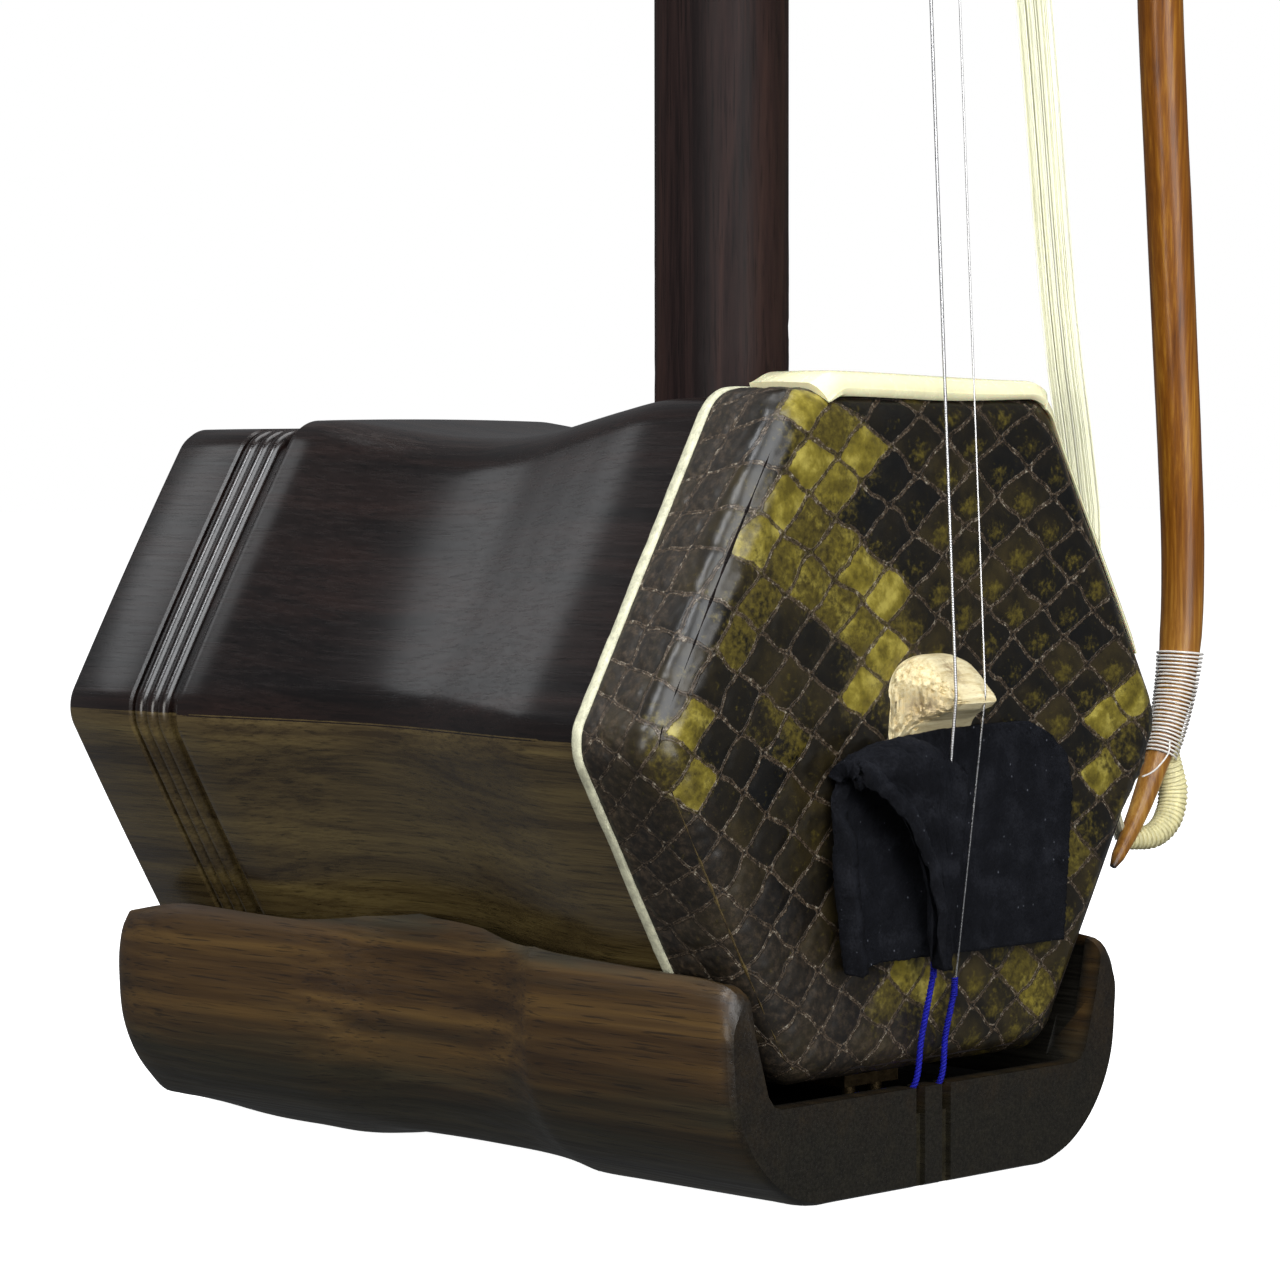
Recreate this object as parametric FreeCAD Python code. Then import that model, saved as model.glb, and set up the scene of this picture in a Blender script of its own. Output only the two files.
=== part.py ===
"""Erhu with its bow: a two-string spike fiddle, hung with the bow in its storage place.

The model is drawn in millimetres about the centre of the skin: +X to the right of
someone who looks at the skin, +Y back along the resonator, +Z up the neck. Each finished
piece is then moved so that the origin lies on the base's resting face, at the middle of
its front foot.
"""
import math
import os

import FreeCAD
import Part

V = FreeCAD.Vector

# Driving dimensions, in millimetres
BODY_LENGTH = 128.0            # resonator, from the skin to the rear ring
SKIN_APOTHEM = 45.8            # half the distance across the flats, over the skin
SKIN_THICKNESS = 0.8
SKIN_BAND = 13.6               # how far the skin is glued down along the sides
STRIP_WIDTH = 2.7              # trim strip behind the skin's edge
WOOD_APOTHEM = SKIN_APOTHEM - SKIN_THICKNESS
FRONT_ROUNDING = 4.5
NECK_Y = 38.3                  # neck axis behind the skin
NECK_HALF_X = 8.25
NECK_HALF_Y = 9.5
TENON_R = 7.0                  # round part of the neck that passes through the resonator
NECK_TOP_Z = 690.0             # where the straight neck ends and the head curls back
HEAD_BEND_R = 62.0
HEAD_BEND_DEG = 64.0
BASE_BOTTOM_Z = -61.5
BASE_FLOOR_Z = -52.0
BASE_FRONT_Y = -1.2
FOOT_Y = 21.5                  # middle of the base's front foot, where the row's origin is
OUTER_PEG_Z = 580.0
INNER_PEG_Z = 655.0
PEG_HOLE_R = 4.55
PEG_SHAFT_R = 4.5
PEG_TIP_R = 3.9
PEG_TIP_Y = 4.8                # front end of a peg
INNER_WINDING_Y = 19.5         # the inner string's turns, clear of the outer string's peg
OUTER_WINDING_Y = 23.5
WINDING_R = 4.9
QIANJIN_Z = 405.0
STRING_SPREAD = 3.05           # strings' distance from the centre plane at the bridge
STRING_SPREAD_TOP = 2.75
INNER_STRING_R = 0.22
OUTER_STRING_R = 0.14
TAIL_R = 0.55
BRIDGE_HEIGHT = 7.4
STICK_R = 3.4
SCREW_R = 1.0
RUNNING_FIT = 0.05             # radial clearance of a shaft that turns in its hole
FREE_GAP = 0.3                 # clearance between pieces that move past each other

HEX_STEP = 60.0
COS30 = math.cos(math.radians(30.0))
TO_ROW = V(0, -FOOT_Y, -BASE_BOTTOM_Z)
FAR = 200.0                    # further than any part of the resonator


def save(name, shape):
    """Move one finished piece into the row's frame and write it."""
    solids = shape.Solids
    piece = solids[0] if len(solids) == 1 else Part.makeCompound(solids)
    piece = piece.copy()
    piece.translate(TO_ROW)
    piece.exportStep(f"parts/{name}.step")
    print(f"{name:22s} solids {len(solids)} volume {shape.Volume:10.1f} valid {piece.isValid()}")


def biggest(shape):
    """The largest solid that a cut left."""
    return max(shape.Solids, key=lambda solid: solid.Volume)


def fused(shapes):
    """One solid from several that touch or overlap."""
    whole = shapes[0]
    for other in shapes[1:]:
        whole = whole.fuse(other)
    return whole.removeSplitter()


def box(low, high):
    size = V(*high) - V(*low)
    return Part.makeBox(size.x, size.y, size.z, V(*low))


def rod(start, end, radius):
    start, end = V(*start), V(*end)
    return Part.makeCylinder(radius, (end - start).Length, start, end - start)


def polygon_face(points):
    return Part.Face(Part.makePolygon(points + points[:1]))


def quarter_round(start, corner, end):
    """A quarter of an ellipse that touches both sides of a square corner."""
    curve = Part.BezierCurve()
    curve.setPoles([start, corner, end])
    curve.setWeight(2, math.sqrt(0.5))
    return curve.toShape()


# ---------------------------------------------------------------- routes

def route(points, bend_radii):
    """Straight runs through the points, joined by tangent arcs of the given radii."""
    corners = [V(*point) for point in points]
    edges = []
    start = corners[0]
    for before, corner, after, radius in zip(corners, corners[1:], corners[2:], bend_radii):
        into = (corner - before).normalize()
        out = (after - corner).normalize()
        half_turn = into.getAngle(out) / 2
        reach = radius * math.tan(half_turn)
        first = corner - into * reach
        last = corner + out * reach
        inward = (out - into).normalize()
        middle = corner + inward * (radius / math.cos(half_turn) - radius)
        edges.append(Part.LineSegment(start, first).toShape())
        edges.append(Part.Arc(first, middle, last).toShape())
        start = last
    edges.append(Part.LineSegment(start, corners[-1]).toShape())
    return Part.Wire(edges)


def tube(points, radius, bend_radii=()):
    """A round bar along a route."""
    path = route(points, bend_radii)
    first = V(*points[0])
    ring = Part.Wire(Part.makeCircle(radius, first, V(*points[1]) - first))
    return path.makePipeShell([ring], True, True)


# ---------------------------------------------------------------- resonator

def corner_rounding(y):
    """Radius of the resonator's long edges: softer at the waist than at the ends."""
    stations = [(-5, 6.2), (17, 6.2), (63, 12.0), (101, 6.5), (140, 5.0)]
    for (y0, r0), (y1, r1) in zip(stations, stations[1:]):
        if y <= y1:
            return r0 + (r1 - r0) * (y - y0) / (y1 - y0)
    return stations[-1][1]


def flat_reach(_, apothem):
    return apothem


def corner_reach(y, apothem):
    return apothem / COS30 - (1 / COS30 - 1) * corner_rounding(y)


def wood_outline(reach):
    """The resonator's side profile as edges in the YZ plane, from front to rear."""
    def at(y, apothem):
        return V(0, y, reach(y, apothem))

    round_r = FRONT_ROUNDING - SKIN_THICKNESS
    flat_end = SKIN_BAND + STRIP_WIDTH
    edges = [
        quarter_round(at(SKIN_THICKNESS, WOOD_APOTHEM - round_r),
                      at(SKIN_THICKNESS, WOOD_APOTHEM),
                      at(SKIN_THICKNESS + round_r, WOOD_APOTHEM)),
        Part.LineSegment(at(SKIN_THICKNESS + round_r, WOOD_APOTHEM),
                         at(flat_end, WOOD_APOTHEM)).toShape(),
    ]
    wave = Part.BSplineCurve()
    wave.interpolate([at(flat_end, WOOD_APOTHEM), at(27, 44.8), at(43, 42.3), at(63, 39.85),
                      at(84, 41.1), at(96, 42.6), at(101, 42.5)])
    edges.append(wave.toShape())
    groove_end, bead_width, bead_height = 105.0, 2.6, 1.0
    line = [at(101, 42.5), at(101.3, 40.2), at(groove_end, 40.2)]
    edges += [Part.LineSegment(a, b).toShape() for a, b in zip(line, line[1:])]
    for bead in range(3):
        y = groove_end + bead * bead_width
        edges.append(Part.Arc(at(y, 40.2), at(y + bead_width / 2, 40.2 + bead_height),
                              at(y + bead_width, 40.2)).toShape())
    ring_y = groove_end + 3 * bead_width
    line = [at(ring_y, 40.2), at(ring_y + 0.2, 41.3), at(BODY_LENGTH - 1, 41.3),
            at(BODY_LENGTH, 40.3)]
    edges += [Part.LineSegment(a, b).toShape() for a, b in zip(line, line[1:])]
    return edges


def shell_outline(front_y, rear_y, apothem, rounding):
    """A function that gives the profile of a cap with a rounded front edge."""
    def outline(reach):
        def at(y, value):
            return V(0, y, reach(y, value))

        return [
            quarter_round(at(front_y, apothem - rounding), at(front_y, apothem),
                          at(front_y + rounding, apothem)),
            Part.LineSegment(at(front_y + rounding, apothem), at(rear_y, apothem)).toShape(),
        ]
    return outline


def polyline_outline(points):
    """A function that gives a profile of straight lines through (y, apothem) points."""
    def outline(reach):
        corners = [V(0, y, reach(y, apothem)) for y, apothem in points]
        return [Part.LineSegment(a, b).toShape() for a, b in zip(corners, corners[1:])]
    return outline


def closed_profile(edges, floor):
    """Close a profile with straight sides down to the given radius."""
    front = edges[0].firstVertex().Point
    rear = edges[-1].lastVertex().Point
    sides = [Part.LineSegment(rear, V(0, rear.y, floor)).toShape(),
             Part.LineSegment(V(0, rear.y, floor), V(0, front.y, floor)).toShape(),
             Part.LineSegment(V(0, front.y, floor), front).toShape()]
    return Part.Face(Part.Wire(edges + sides))


def hexagonal(outline, rounded=True):
    """The solid with this profile on its six sides, and rounded long edges."""
    half_width = 70.0
    side = closed_profile(outline(flat_reach), -half_width)
    side.translate(V(-half_width, 0, 0))
    slab = side.extrude(V(2 * half_width, 0, 0))
    whole = slab
    for turn in range(1, 6):
        other = slab.copy()
        other.rotate(V(0, 0, 0), V(0, 1, 0), HEX_STEP * turn)
        whole = whole.common(other)
    if rounded:
        profile = closed_profile(outline(corner_reach), 0)
        whole = whole.common(profile.revolve(V(0, 0, 0), V(0, 1, 0), 360))
    return whole


def wedge(turn):
    """The sixth part of space that holds one stave, between the two mitres."""
    spread = FAR * math.tan(math.radians(HEX_STEP / 2))
    face = polygon_face([V(0, -FAR, 0), V(-spread, -FAR, FAR), V(spread, -FAR, FAR)])
    piece = face.extrude(V(0, 2 * FAR, 0))
    piece.rotate(V(0, 0, 0), V(0, 1, 0), HEX_STEP * turn)
    return piece


def make_resonator(wood_block):
    """Six mitred staves round a hollow, with holes for the neck's tenon."""
    hollow = hexagonal(polyline_outline([(-1, 37.5), (25, 37.5), (50, 33.5), (95, 34.5),
                                         (112, 36.0), (BODY_LENGTH + 1, 36.0)]), rounded=False)
    tenon_hole = rod((0, NECK_Y, -70), (0, NECK_Y, 70), TENON_R)
    shell = wood_block.cut(hollow).cut(tenon_hole)
    names = ["stave_top", "stave_upper_right", "stave_lower_right",
             "stave_bottom", "stave_lower_left", "stave_upper_left"]
    for turn, name in enumerate(names):
        save(name, shell.common(wedge(turn)))


def make_skin_and_trim(wood_block):
    skin_block = hexagonal(shell_outline(0, SKIN_BAND, SKIN_APOTHEM, FRONT_ROUNDING))
    save("python_skin", skin_block.cut(wood_block))

    strip_end = SKIN_BAND + STRIP_WIDTH
    strip = hexagonal(polyline_outline([(SKIN_BAND, 46.3), (strip_end, 46.3)]))
    save("skin_border_strip", strip.cut(wood_block))

    guard = hexagonal(shell_outline(0.4, SKIN_BAND - 0.2, 47.3, 2.4)).cut(skin_block)
    save("bow_guard", guard.common(box((-25, -5, 8), (60, SKIN_BAND, 60))))


def make_rear_lattice():
    """Pierced sound window that closes the rear of the resonator."""
    pitch, hole_r, front, thickness = 12.4, 5.4, 118.0, 4.0
    panel = hexagonal(polyline_outline([(front, 36.0), (front + thickness, 36.0)]), rounded=False)
    axes = [V(pitch * math.cos(a), 0, pitch * math.sin(a)) for a in (0, math.pi / 3)]
    for i in range(-2, 3):
        for j in range(-2, 3):
            if abs(i + j) > 2:
                continue
            centre = axes[0] * i + axes[1] * j + V(0, front - 1, 0)
            corners = [centre + V(hole_r * math.sin(k * math.pi / 3), 0,
                                  hole_r * math.cos(k * math.pi / 3)) for k in range(6)]
            panel = panel.cut(polygon_face(corners).extrude(V(0, thickness + 2, 0)))
    save("rear_lattice", panel)


# ---------------------------------------------------------------- neck and head

def oval_wire(half_x, half_y, z, power=2.4, points=24):
    """A full, slightly squared oval about the neck's axis."""
    outline = []
    for step in range(points):
        angle = 2 * math.pi * step / points
        c, s = math.cos(angle), math.sin(angle)
        x = half_x * math.copysign(abs(c) ** (2 / power), c)
        y = half_y * math.copysign(abs(s) ** (2 / power), s)
        outline.append(V(x, NECK_Y + y, z))
    curve = Part.BSplineCurve()
    curve.interpolate(outline, PeriodicFlag=True)
    return Part.Wire(curve.toShape())


def make_neck(wood_block):
    section = Part.Face(oval_wire(NECK_HALF_X, NECK_HALF_Y, 40))
    straight = section.extrude(V(0, 0, NECK_TOP_Z - 40)).cut(wood_block)
    tenon = rod((0, NECK_Y, BASE_FLOOR_Z), (0, NECK_Y, 60), TENON_R)
    top = Part.Face(oval_wire(NECK_HALF_X, NECK_HALF_Y, NECK_TOP_Z))
    bend_axis = V(0, NECK_Y + HEAD_BEND_R, NECK_TOP_Z)
    head = top.revolve(bend_axis, V(1, 0, 0), -HEAD_BEND_DEG)
    neck = fused([biggest(straight), tenon, head])
    for peg_z in (OUTER_PEG_Z, INNER_PEG_Z):
        neck = neck.cut(rod((0, 0, peg_z), (0, 80, peg_z), PEG_HOLE_R))
    screw_hole = rod((0, NECK_Y, BASE_FLOOR_Z - 1), (0, NECK_Y, BASE_FLOOR_Z + 18), 1.9)
    save("neck", neck.cut(screw_hole))

    inlay = Part.Face(oval_wire(NECK_HALF_X - 1.2, NECK_HALF_Y - 1.2, NECK_TOP_Z))
    inlay = inlay.extrude(V(0, 0, 2.0))
    inlay.rotate(bend_axis, V(1, 0, 0), -HEAD_BEND_DEG)
    save("head_inlay", inlay)


# ---------------------------------------------------------------- pegs

def peg_handle(start_y, end_y):
    """Fluted handle, thin at the neck and full towards its end."""
    outline = [(start_y, 0), (start_y, 5.6), (start_y + 7, 6.4), (start_y + 22, 6.0),
               (start_y + 45, 8.4), (start_y + 72, 10.6), (end_y - 4, 10.2), (end_y, 8.2),
               (end_y, 0)]
    handle = polygon_face([V(0, y, r) for y, r in outline])
    handle = handle.revolve(V(0, 0, 0), V(0, 1, 0), 360)
    flutes, flute_r, flute_at = 8, 3.4, 12.9
    for turn in range(flutes):
        angle = 2 * math.pi * turn / flutes
        x, z = flute_at * math.cos(angle), flute_at * math.sin(angle)
        handle = handle.cut(rod((x, start_y + 30, z), (x, end_y + 5, z), flute_r))
    return handle


def make_peg(name, peg_z, winding_y):
    back = NECK_Y + NECK_HALF_Y + FREE_GAP
    collar_end, end_y = back + 3.0, back + 98.0
    shaft = rod((0, PEG_TIP_Y, 0), (0, collar_end, 0), PEG_TIP_R)
    bearing = rod((0, NECK_Y - NECK_HALF_Y - 1, 0), (0, collar_end, 0), PEG_SHAFT_R)
    peg = fused([shaft, bearing, peg_handle(collar_end, end_y)])
    collar = rod((0, back, 0), (0, collar_end, 0), 6.6).cut(peg)
    cap = rod((0, end_y, 0), (0, end_y + 2.0, 0), 6.6).fuse(
        Part.makeCone(6.6, 3.4, 1.6, V(0, end_y + 2.0, 0), V(0, 1, 0)))
    winding = rod((0, winding_y - 2, 0), (0, winding_y + 2, 0), WINDING_R).cut(peg)
    for suffix, shape in (("_peg", peg), ("_peg_collar", collar), ("_peg_cap", cap.removeSplitter()),
                          ("_winding", winding)):
        shape = shape.copy()
        shape.translate(V(0, 0, peg_z))
        save(name + suffix, shape)


# ---------------------------------------------------------------- strings and fittings

def string_points(side, peg_z, winding_y):
    """Where a string leaves its peg, and the points that it bears on down to its tail."""
    radius = INNER_STRING_R if side < 0 else OUTER_STRING_R
    peg_x = WINDING_R + FREE_GAP + radius
    tail_z = -32.0 if side < 0 else -35.0
    tail_y = -3.4 - 0.24 * (tail_z + 32.0)
    return [(side * peg_x, winding_y, peg_z),
            (side * STRING_SPREAD_TOP, 12.7, QIANJIN_Z),
            (side * STRING_SPREAD, -BRIDGE_HEIGHT - radius, 5.0),
            (side * 2.55, tail_y, tail_z)]


def make_strings():
    for side, name, radius, peg_z, winding_y in (
            (-1, "inner", INNER_STRING_R, INNER_PEG_Z, INNER_WINDING_Y),
            (1, "outer", OUTER_STRING_R, OUTER_PEG_Z, OUTER_WINDING_Y)):
        points = string_points(side, peg_z, winding_y)
        save(name + "_string", tube(points, radius, [300.0, 4.0]))
        tail = [points[-1], (side * 2.65, 0.9, -49.2), (side * 2.7, 10.6, -50.2)]
        save(name + "_string_tail", tube(tail, TAIL_R, [3.0]))


def make_string_hook():
    """Brass plate round the tenon's foot, with two posts that hold the strings' tails."""
    top, bottom, reach_y = -47.2, -48.8, 10.0
    ring = rod((0, NECK_Y, bottom), (0, NECK_Y, top), TENON_R + 3.5)
    tongue = box((-5.5, reach_y, bottom), (5.5, NECK_Y, top))
    plate = ring.fuse(tongue).cut(rod((0, NECK_Y, -60), (0, NECK_Y, -40), TENON_R))
    posts = [rod((side * 2.7, 12.0, bottom - 2.6), (side * 2.7, 12.0, top), 1.1)
             for side in (-1, 1)]
    save("string_hook", fused([plate] + posts))


def make_bridge():
    """Low maple bridge: an arched foot on the skin that rises to a narrow ridge."""
    foot_low, foot_high, foot_y = -3.4, 8.6, 0.0
    ridge_low, ridge_high = 4.1, 5.8
    top_curve = Part.Arc(V(0, foot_y, foot_high), V(0, -4.6, 8.2),
                         V(0, -BRIDGE_HEIGHT, ridge_high)).toShape()
    ridge = Part.LineSegment(V(0, -BRIDGE_HEIGHT, ridge_high),
                             V(0, -BRIDGE_HEIGHT, ridge_low)).toShape()
    under_curve = Part.Arc(V(0, -BRIDGE_HEIGHT, ridge_low), V(0, -2.6, 1.0),
                           V(0, foot_y, foot_low)).toShape()
    foot = Part.LineSegment(V(0, foot_y, foot_low), V(0, foot_y, foot_high)).toShape()
    side = Part.Face(Part.Wire([top_curve, ridge, under_curve, foot]))
    side.translate(V(-10, 0, 0))
    block = side.extrude(V(20, 0, 0))
    plan = polygon_face([V(-8.2, 0, -20), V(-8.2, -1.5, -20), V(-4.7, -BRIDGE_HEIGHT, -20),
                         V(4.7, -BRIDGE_HEIGHT, -20), V(8.2, -1.5, -20), V(8.2, 0, -20)])
    save("bridge", block.common(plan.extrude(V(0, 0, 40))))


def make_damper_felt():
    """Felt folded behind the strings, below the bridge, with its left end rolled forward."""
    back, front = -0.15, -2.9
    flat = polygon_face([V(x, back, z) for x, z in
                         [(-15, -4.4), (9.2, -4.4), (9.2, 0.3), (19, 0.5), (27.4, -2.8),
                          (28.3, -8.3), (26.4, -29.9), (7, -30.3), (-15, -30.3)]])
    roll = polygon_face([V(x, front, z) for x, z in
                         [(-22, -5), (-16, -5), (-5.2, -24), (-4.8, -30), (-21, -30)]])
    edge = box((-21, front, -30), (-14, back, -5))
    save("damper_felt", fused([flat.extrude(V(0, front - back, 0)),
                               roll.extrude(V(0, -5.0, 0)), edge]))


def belt_face(back_r, front_r, front_y, z):
    """A loop's outline: a big arc round the neck, tapering to a small arc in front."""
    distance = NECK_Y - front_y
    lean = math.asin((back_r - front_r) / distance)
    c, s = math.cos(lean), math.sin(lean)
    back = [V(side * back_r * c, NECK_Y - back_r * s, z) for side in (-1, 1)]
    front = [V(side * front_r * c, front_y - front_r * s, z) for side in (-1, 1)]
    edges = [Part.LineSegment(front[0], back[0]).toShape(),
             Part.Arc(back[0], V(0, NECK_Y + back_r, z), back[1]).toShape(),
             Part.LineSegment(back[1], front[1]).toShape(),
             Part.Arc(front[1], V(0, front_y - front_r, z), front[0]).toShape()]
    return Part.Face(Part.Wire(edges))


def make_qianjin():
    """Loop of wound silk that ties both strings back to the neck."""
    height, thread, inner_back, inner_front, front_y = 6.0, 0.7, NECK_HALF_Y + 0.25, 4.8, 16.3
    low = QIANJIN_Z - height / 2
    outer = belt_face(inner_back + thread, inner_front + thread, front_y, low)
    inner = belt_face(inner_back, inner_front, front_y, low)
    save("qianjin", outer.cut(inner).extrude(V(0, 0, height)))


# ---------------------------------------------------------------- base

def base_section(y, width, bottom, top):
    """Outer cross-section: full cheeks that turn in to a flat foot."""
    half = [(39.2, top), (40.2, -40.0), (38.4, -50.5), (33.0, -57.2), (25.5, bottom)]
    right = [V(x * width, y, z) for x, z in half]
    left = [V(-point.x, y, point.z) for point in reversed(right)]
    corners = right + left
    return Part.makePolygon(corners + corners[:1])


def base_hollow_section(y, width):
    """Inner cross-section: room for the resonator over a flat floor."""
    half = [(37.4, -20.0), (37.4, -30.5), (31.5, -47.2), (28.0, BASE_FLOOR_Z)]
    right = [V(x * width, y, z) for x, z in half]
    left = [V(-point.x, y, point.z) for point in reversed(right)]
    corners = right + left
    return Part.makePolygon(corners + corners[:1])


def make_base():
    """Cradle under the resonator, waisted like it, with a low wall at the front and rear."""
    bottom = BASE_BOTTOM_Z
    below = bottom - 0.4           # planed off flat where the feet rest
    stations = [(BASE_FRONT_Y, 1.0, bottom + 0.5, -30.0), (3.0, 1.0, below, -30.0),
                (40.0, 0.985, below, -29.5), (64.0, 0.9, bottom + 2.2, -27.0),
                (84.0, 0.965, below, -29.0), (106.0, 0.97, below, -29.0),
                (122.0, 0.955, bottom + 2.0, -29.5), (129.5, 0.91, bottom + 6.5, -31.0)]
    outer = Part.makeLoft([base_section(*station) for station in stations], True, True)
    outer = outer.cut(box((-60, -20, bottom - 10), (60, 160, bottom)))
    wall = 3.2
    inside = [(BASE_FRONT_Y + wall, 1.0), (38.0, 0.985), (64.0, 0.9), (86.0, 0.965),
              (104.0, 0.97), (125.0, 0.95)]
    hollow = Part.makeLoft([base_hollow_section(*station) for station in inside], True, True)
    front_notch = polygon_face([V(x, -5, z) for x, z in
                                [(-36.7, -15), (-36.7, -29), (-32, -47.9), (32, -47.9),
                                 (36.7, -29), (36.7, -15)]]).extrude(V(0, 10, 0))
    rear_notch = polygon_face([V(x, 124, z) for x, z in
                               [(-33.6, -15), (-33.6, -29), (-27, -45), (27, -45),
                                (33.6, -29), (33.6, -15)]]).extrude(V(0, 10, 0))
    base = outer.cut(hollow).cut(front_notch).cut(rear_notch)
    slot_half = 0.9
    for side in (-1, 1):
        x = side * 2.65
        base = base.cut(box((x - slot_half, -5, BASE_FLOOR_Z + 0.4), (x + slot_half, 5, -40)))
        base = base.cut(box((x - slot_half, -5, -70), (x + slot_half, BASE_FRONT_Y + 0.9, -50)))
    head_r, head_depth, shank_r = 5.2, 4.0, 2.1
    base = base.cut(rod((0, NECK_Y, bottom - 1), (0, NECK_Y, bottom + head_depth), head_r))
    base = base.cut(rod((0, NECK_Y, bottom), (0, NECK_Y, BASE_FLOOR_Z + 1), shank_r))
    save("base", base)

    washer_top = bottom + head_depth
    washer_low = washer_top - 0.8
    save("base_washer", rod((0, NECK_Y, washer_low), (0, NECK_Y, washer_top), 4.9).cut(
        rod((0, NECK_Y, bottom), (0, NECK_Y, washer_top + 1), shank_r)))
    head = rod((0, NECK_Y, washer_low - 2.4), (0, NECK_Y, washer_low), 3.6)
    shank = rod((0, NECK_Y, washer_low - 1), (0, NECK_Y, BASE_FLOOR_Z + 16), 1.9)
    drive = box((-3.8, NECK_Y - 0.4, washer_low - 3), (3.8, NECK_Y + 0.4, washer_low - 1.4))
    save("base_screw", head.fuse(shank).removeSplitter().cut(drive))


# ---------------------------------------------------------------- bow

FROG_CENTRE = V(20.6, 4.7, 690.0)              # on the stick's axis
ALONG = V(-0.0785, -0.012, 1.0).normalize()    # up the stick
ACROSS = V(-1.0, 0.0, -0.0785).normalize()     # from the stick towards the hair
THICK = ALONG.cross(ACROSS)


def bow_point(along, across, thick=0.0):
    return FROG_CENTRE + ALONG * along + ACROSS * across + THICK * thick


def bow_box(along, across, thick):
    """A block between two values along each of the bow's own directions."""
    corners = [bow_point(along[0], across[0], thick[0]), bow_point(along[1], across[0], thick[0]),
               bow_point(along[1], across[1], thick[0]), bow_point(along[0], across[1], thick[0])]
    return polygon_face(corners).extrude(THICK * (thick[1] - thick[0]))


def bow_rod(start, end, radius):
    return Part.makeCylinder(radius, end - start, bow_point(start, 0), ALONG)


STICK_END = 70.0
HAIR_OFFSET = 31.0             # hair from the stick at the frog
FROG_LOW = -29.1               # the frog's lower face, which rests on the upper peg
FROG_HALF = 4.5


def stick_route(radius):
    points = [bow_point(STICK_END, 0), bow_point(-60, 0), bow_point(-350, -4.5),
              bow_point(-686, 0.1), bow_point(-714, 20.2)]
    return tube(points, radius, [2500.0, 6000.0, 30.0])


def make_bow():
    stick = stick_route(STICK_R)
    whole_stick = stick.copy()
    stick = stick.cut(bow_rod(-14, STICK_END + 1, SCREW_R + RUNNING_FIT))
    stick = stick.cut(bow_box((-8, 14), (-2.1, 4), (-2.1, 2.1)))
    save("bow_stick", stick)

    sleeve = stick_route(STICK_R + 0.9).cut(whole_stick)
    save("tip_binding", biggest(sleeve.common(box((50, 0, -5), (90, 30, 9)))))

    knot = tube([(70.6, 13.0, -5.4), (75.2, 13.0, -15.0), (67.5, 13.0, -24.0),
                 (60.5, 13.0, -20.5)], 2.0, [6.0, 5.0])
    knot = biggest(knot.cut(stick_route(STICK_R + 0.9)))
    save("hair_knot", knot)

    make_bow_hair(whole_stick)
    ring = bow_rod(STICK_END - 12, STICK_END, STICK_R + 0.8).cut(
        bow_rod(STICK_END - 13, STICK_END + 1, STICK_R))
    save("stick_ferrule", ring)
    make_frog()
    make_bow_screw()


def make_bow_hair(whole_stick):
    """Flat ribbon from the frog to the tip. It passes between the two strings."""
    half_x = 0.6
    top = bow_point(-10, HAIR_OFFSET)
    centres = [top, V(-1.5, 8.0, 392), V(1.6, 10.4, 303), V(36.7, 12.1, 101.5),
               V(49.4, 12.8, 28.0), V(57.0, 13.0, -16.5)]
    rings = []
    for centre in centres:
        half_y = 2.4 if centre.z > 200 else 3.0
        corners = [centre + V(sx * half_x, sy * half_y, 0)
                   for sx, sy in ((-1, -1), (1, -1), (1, 1), (-1, 1))]
        rings.append(Part.makePolygon(corners + corners[:1]))
    ribbon = Part.makeLoft(rings, True, True)
    save("bow_hair", biggest(ribbon.cut(whole_stick)))


def make_frog():
    outline = [(2.0, -16), (2.0, 15), (7.0, 17), (20.0, 16), (26.5, 10), (30.2, -2),
               (30.2, FROG_LOW), (17.0, FROG_LOW), (12.5, -25), (8.0, -17)]
    face = polygon_face([bow_point(along, across, -FROG_HALF) for across, along in outline])
    frog = face.extrude(THICK * (2 * FROG_HALF))
    frog = frog.cut(bow_rod(-60, 60, STICK_R + FREE_GAP))
    shank = Part.makeCylinder(1.4, 9.0, bow_point(0, 1.5), ACROSS)
    save("bow_frog", frog.cut(shank))

    eye = Part.makeCylinder(1.8, 3.6, bow_point(-1.8, 0), ALONG)
    nut = eye.fuse(shank).cut(bow_rod(-5, 5, SCREW_R + RUNNING_FIT))
    save("frog_nut", nut)

    shell = bow_box((-25, -15), (25, HAIR_OFFSET + 2.5), (-FROG_HALF - 0.7, FROG_HALF + 0.7))
    inside = bow_box((-26, -14), (24, HAIR_OFFSET + 1.7), (-FROG_HALF, FROG_HALF))
    save("frog_ferrule", shell.cut(inside))


def make_bow_screw():
    button_start = STICK_END + FREE_GAP
    save("bow_screw", bow_rod(-13, button_start + 6, SCREW_R))
    outline = [(0, 0), (0, 4.3), (1.0, 4.8), (8.5, 4.8), (11.5, 2.6), (11.5, 0)]
    face = polygon_face([bow_point(button_start + along, radius) for along, radius in outline])
    button = face.revolve(bow_point(0, 0), ALONG, 360)
    save("screw_button", button.cut(bow_rod(0, button_start + 6, SCREW_R)))


def main():
    os.makedirs("parts", exist_ok=True)
    wood_block = hexagonal(wood_outline)
    make_resonator(wood_block)
    make_skin_and_trim(wood_block)
    make_rear_lattice()
    make_neck(wood_block)
    make_string_hook()
    make_base()
    make_bridge()
    make_damper_felt()
    make_strings()
    make_qianjin()
    make_peg("outer", OUTER_PEG_Z, OUTER_WINDING_Y)
    make_peg("inner", INNER_PEG_Z, INNER_WINDING_Y)
    make_bow()


main()
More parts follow.
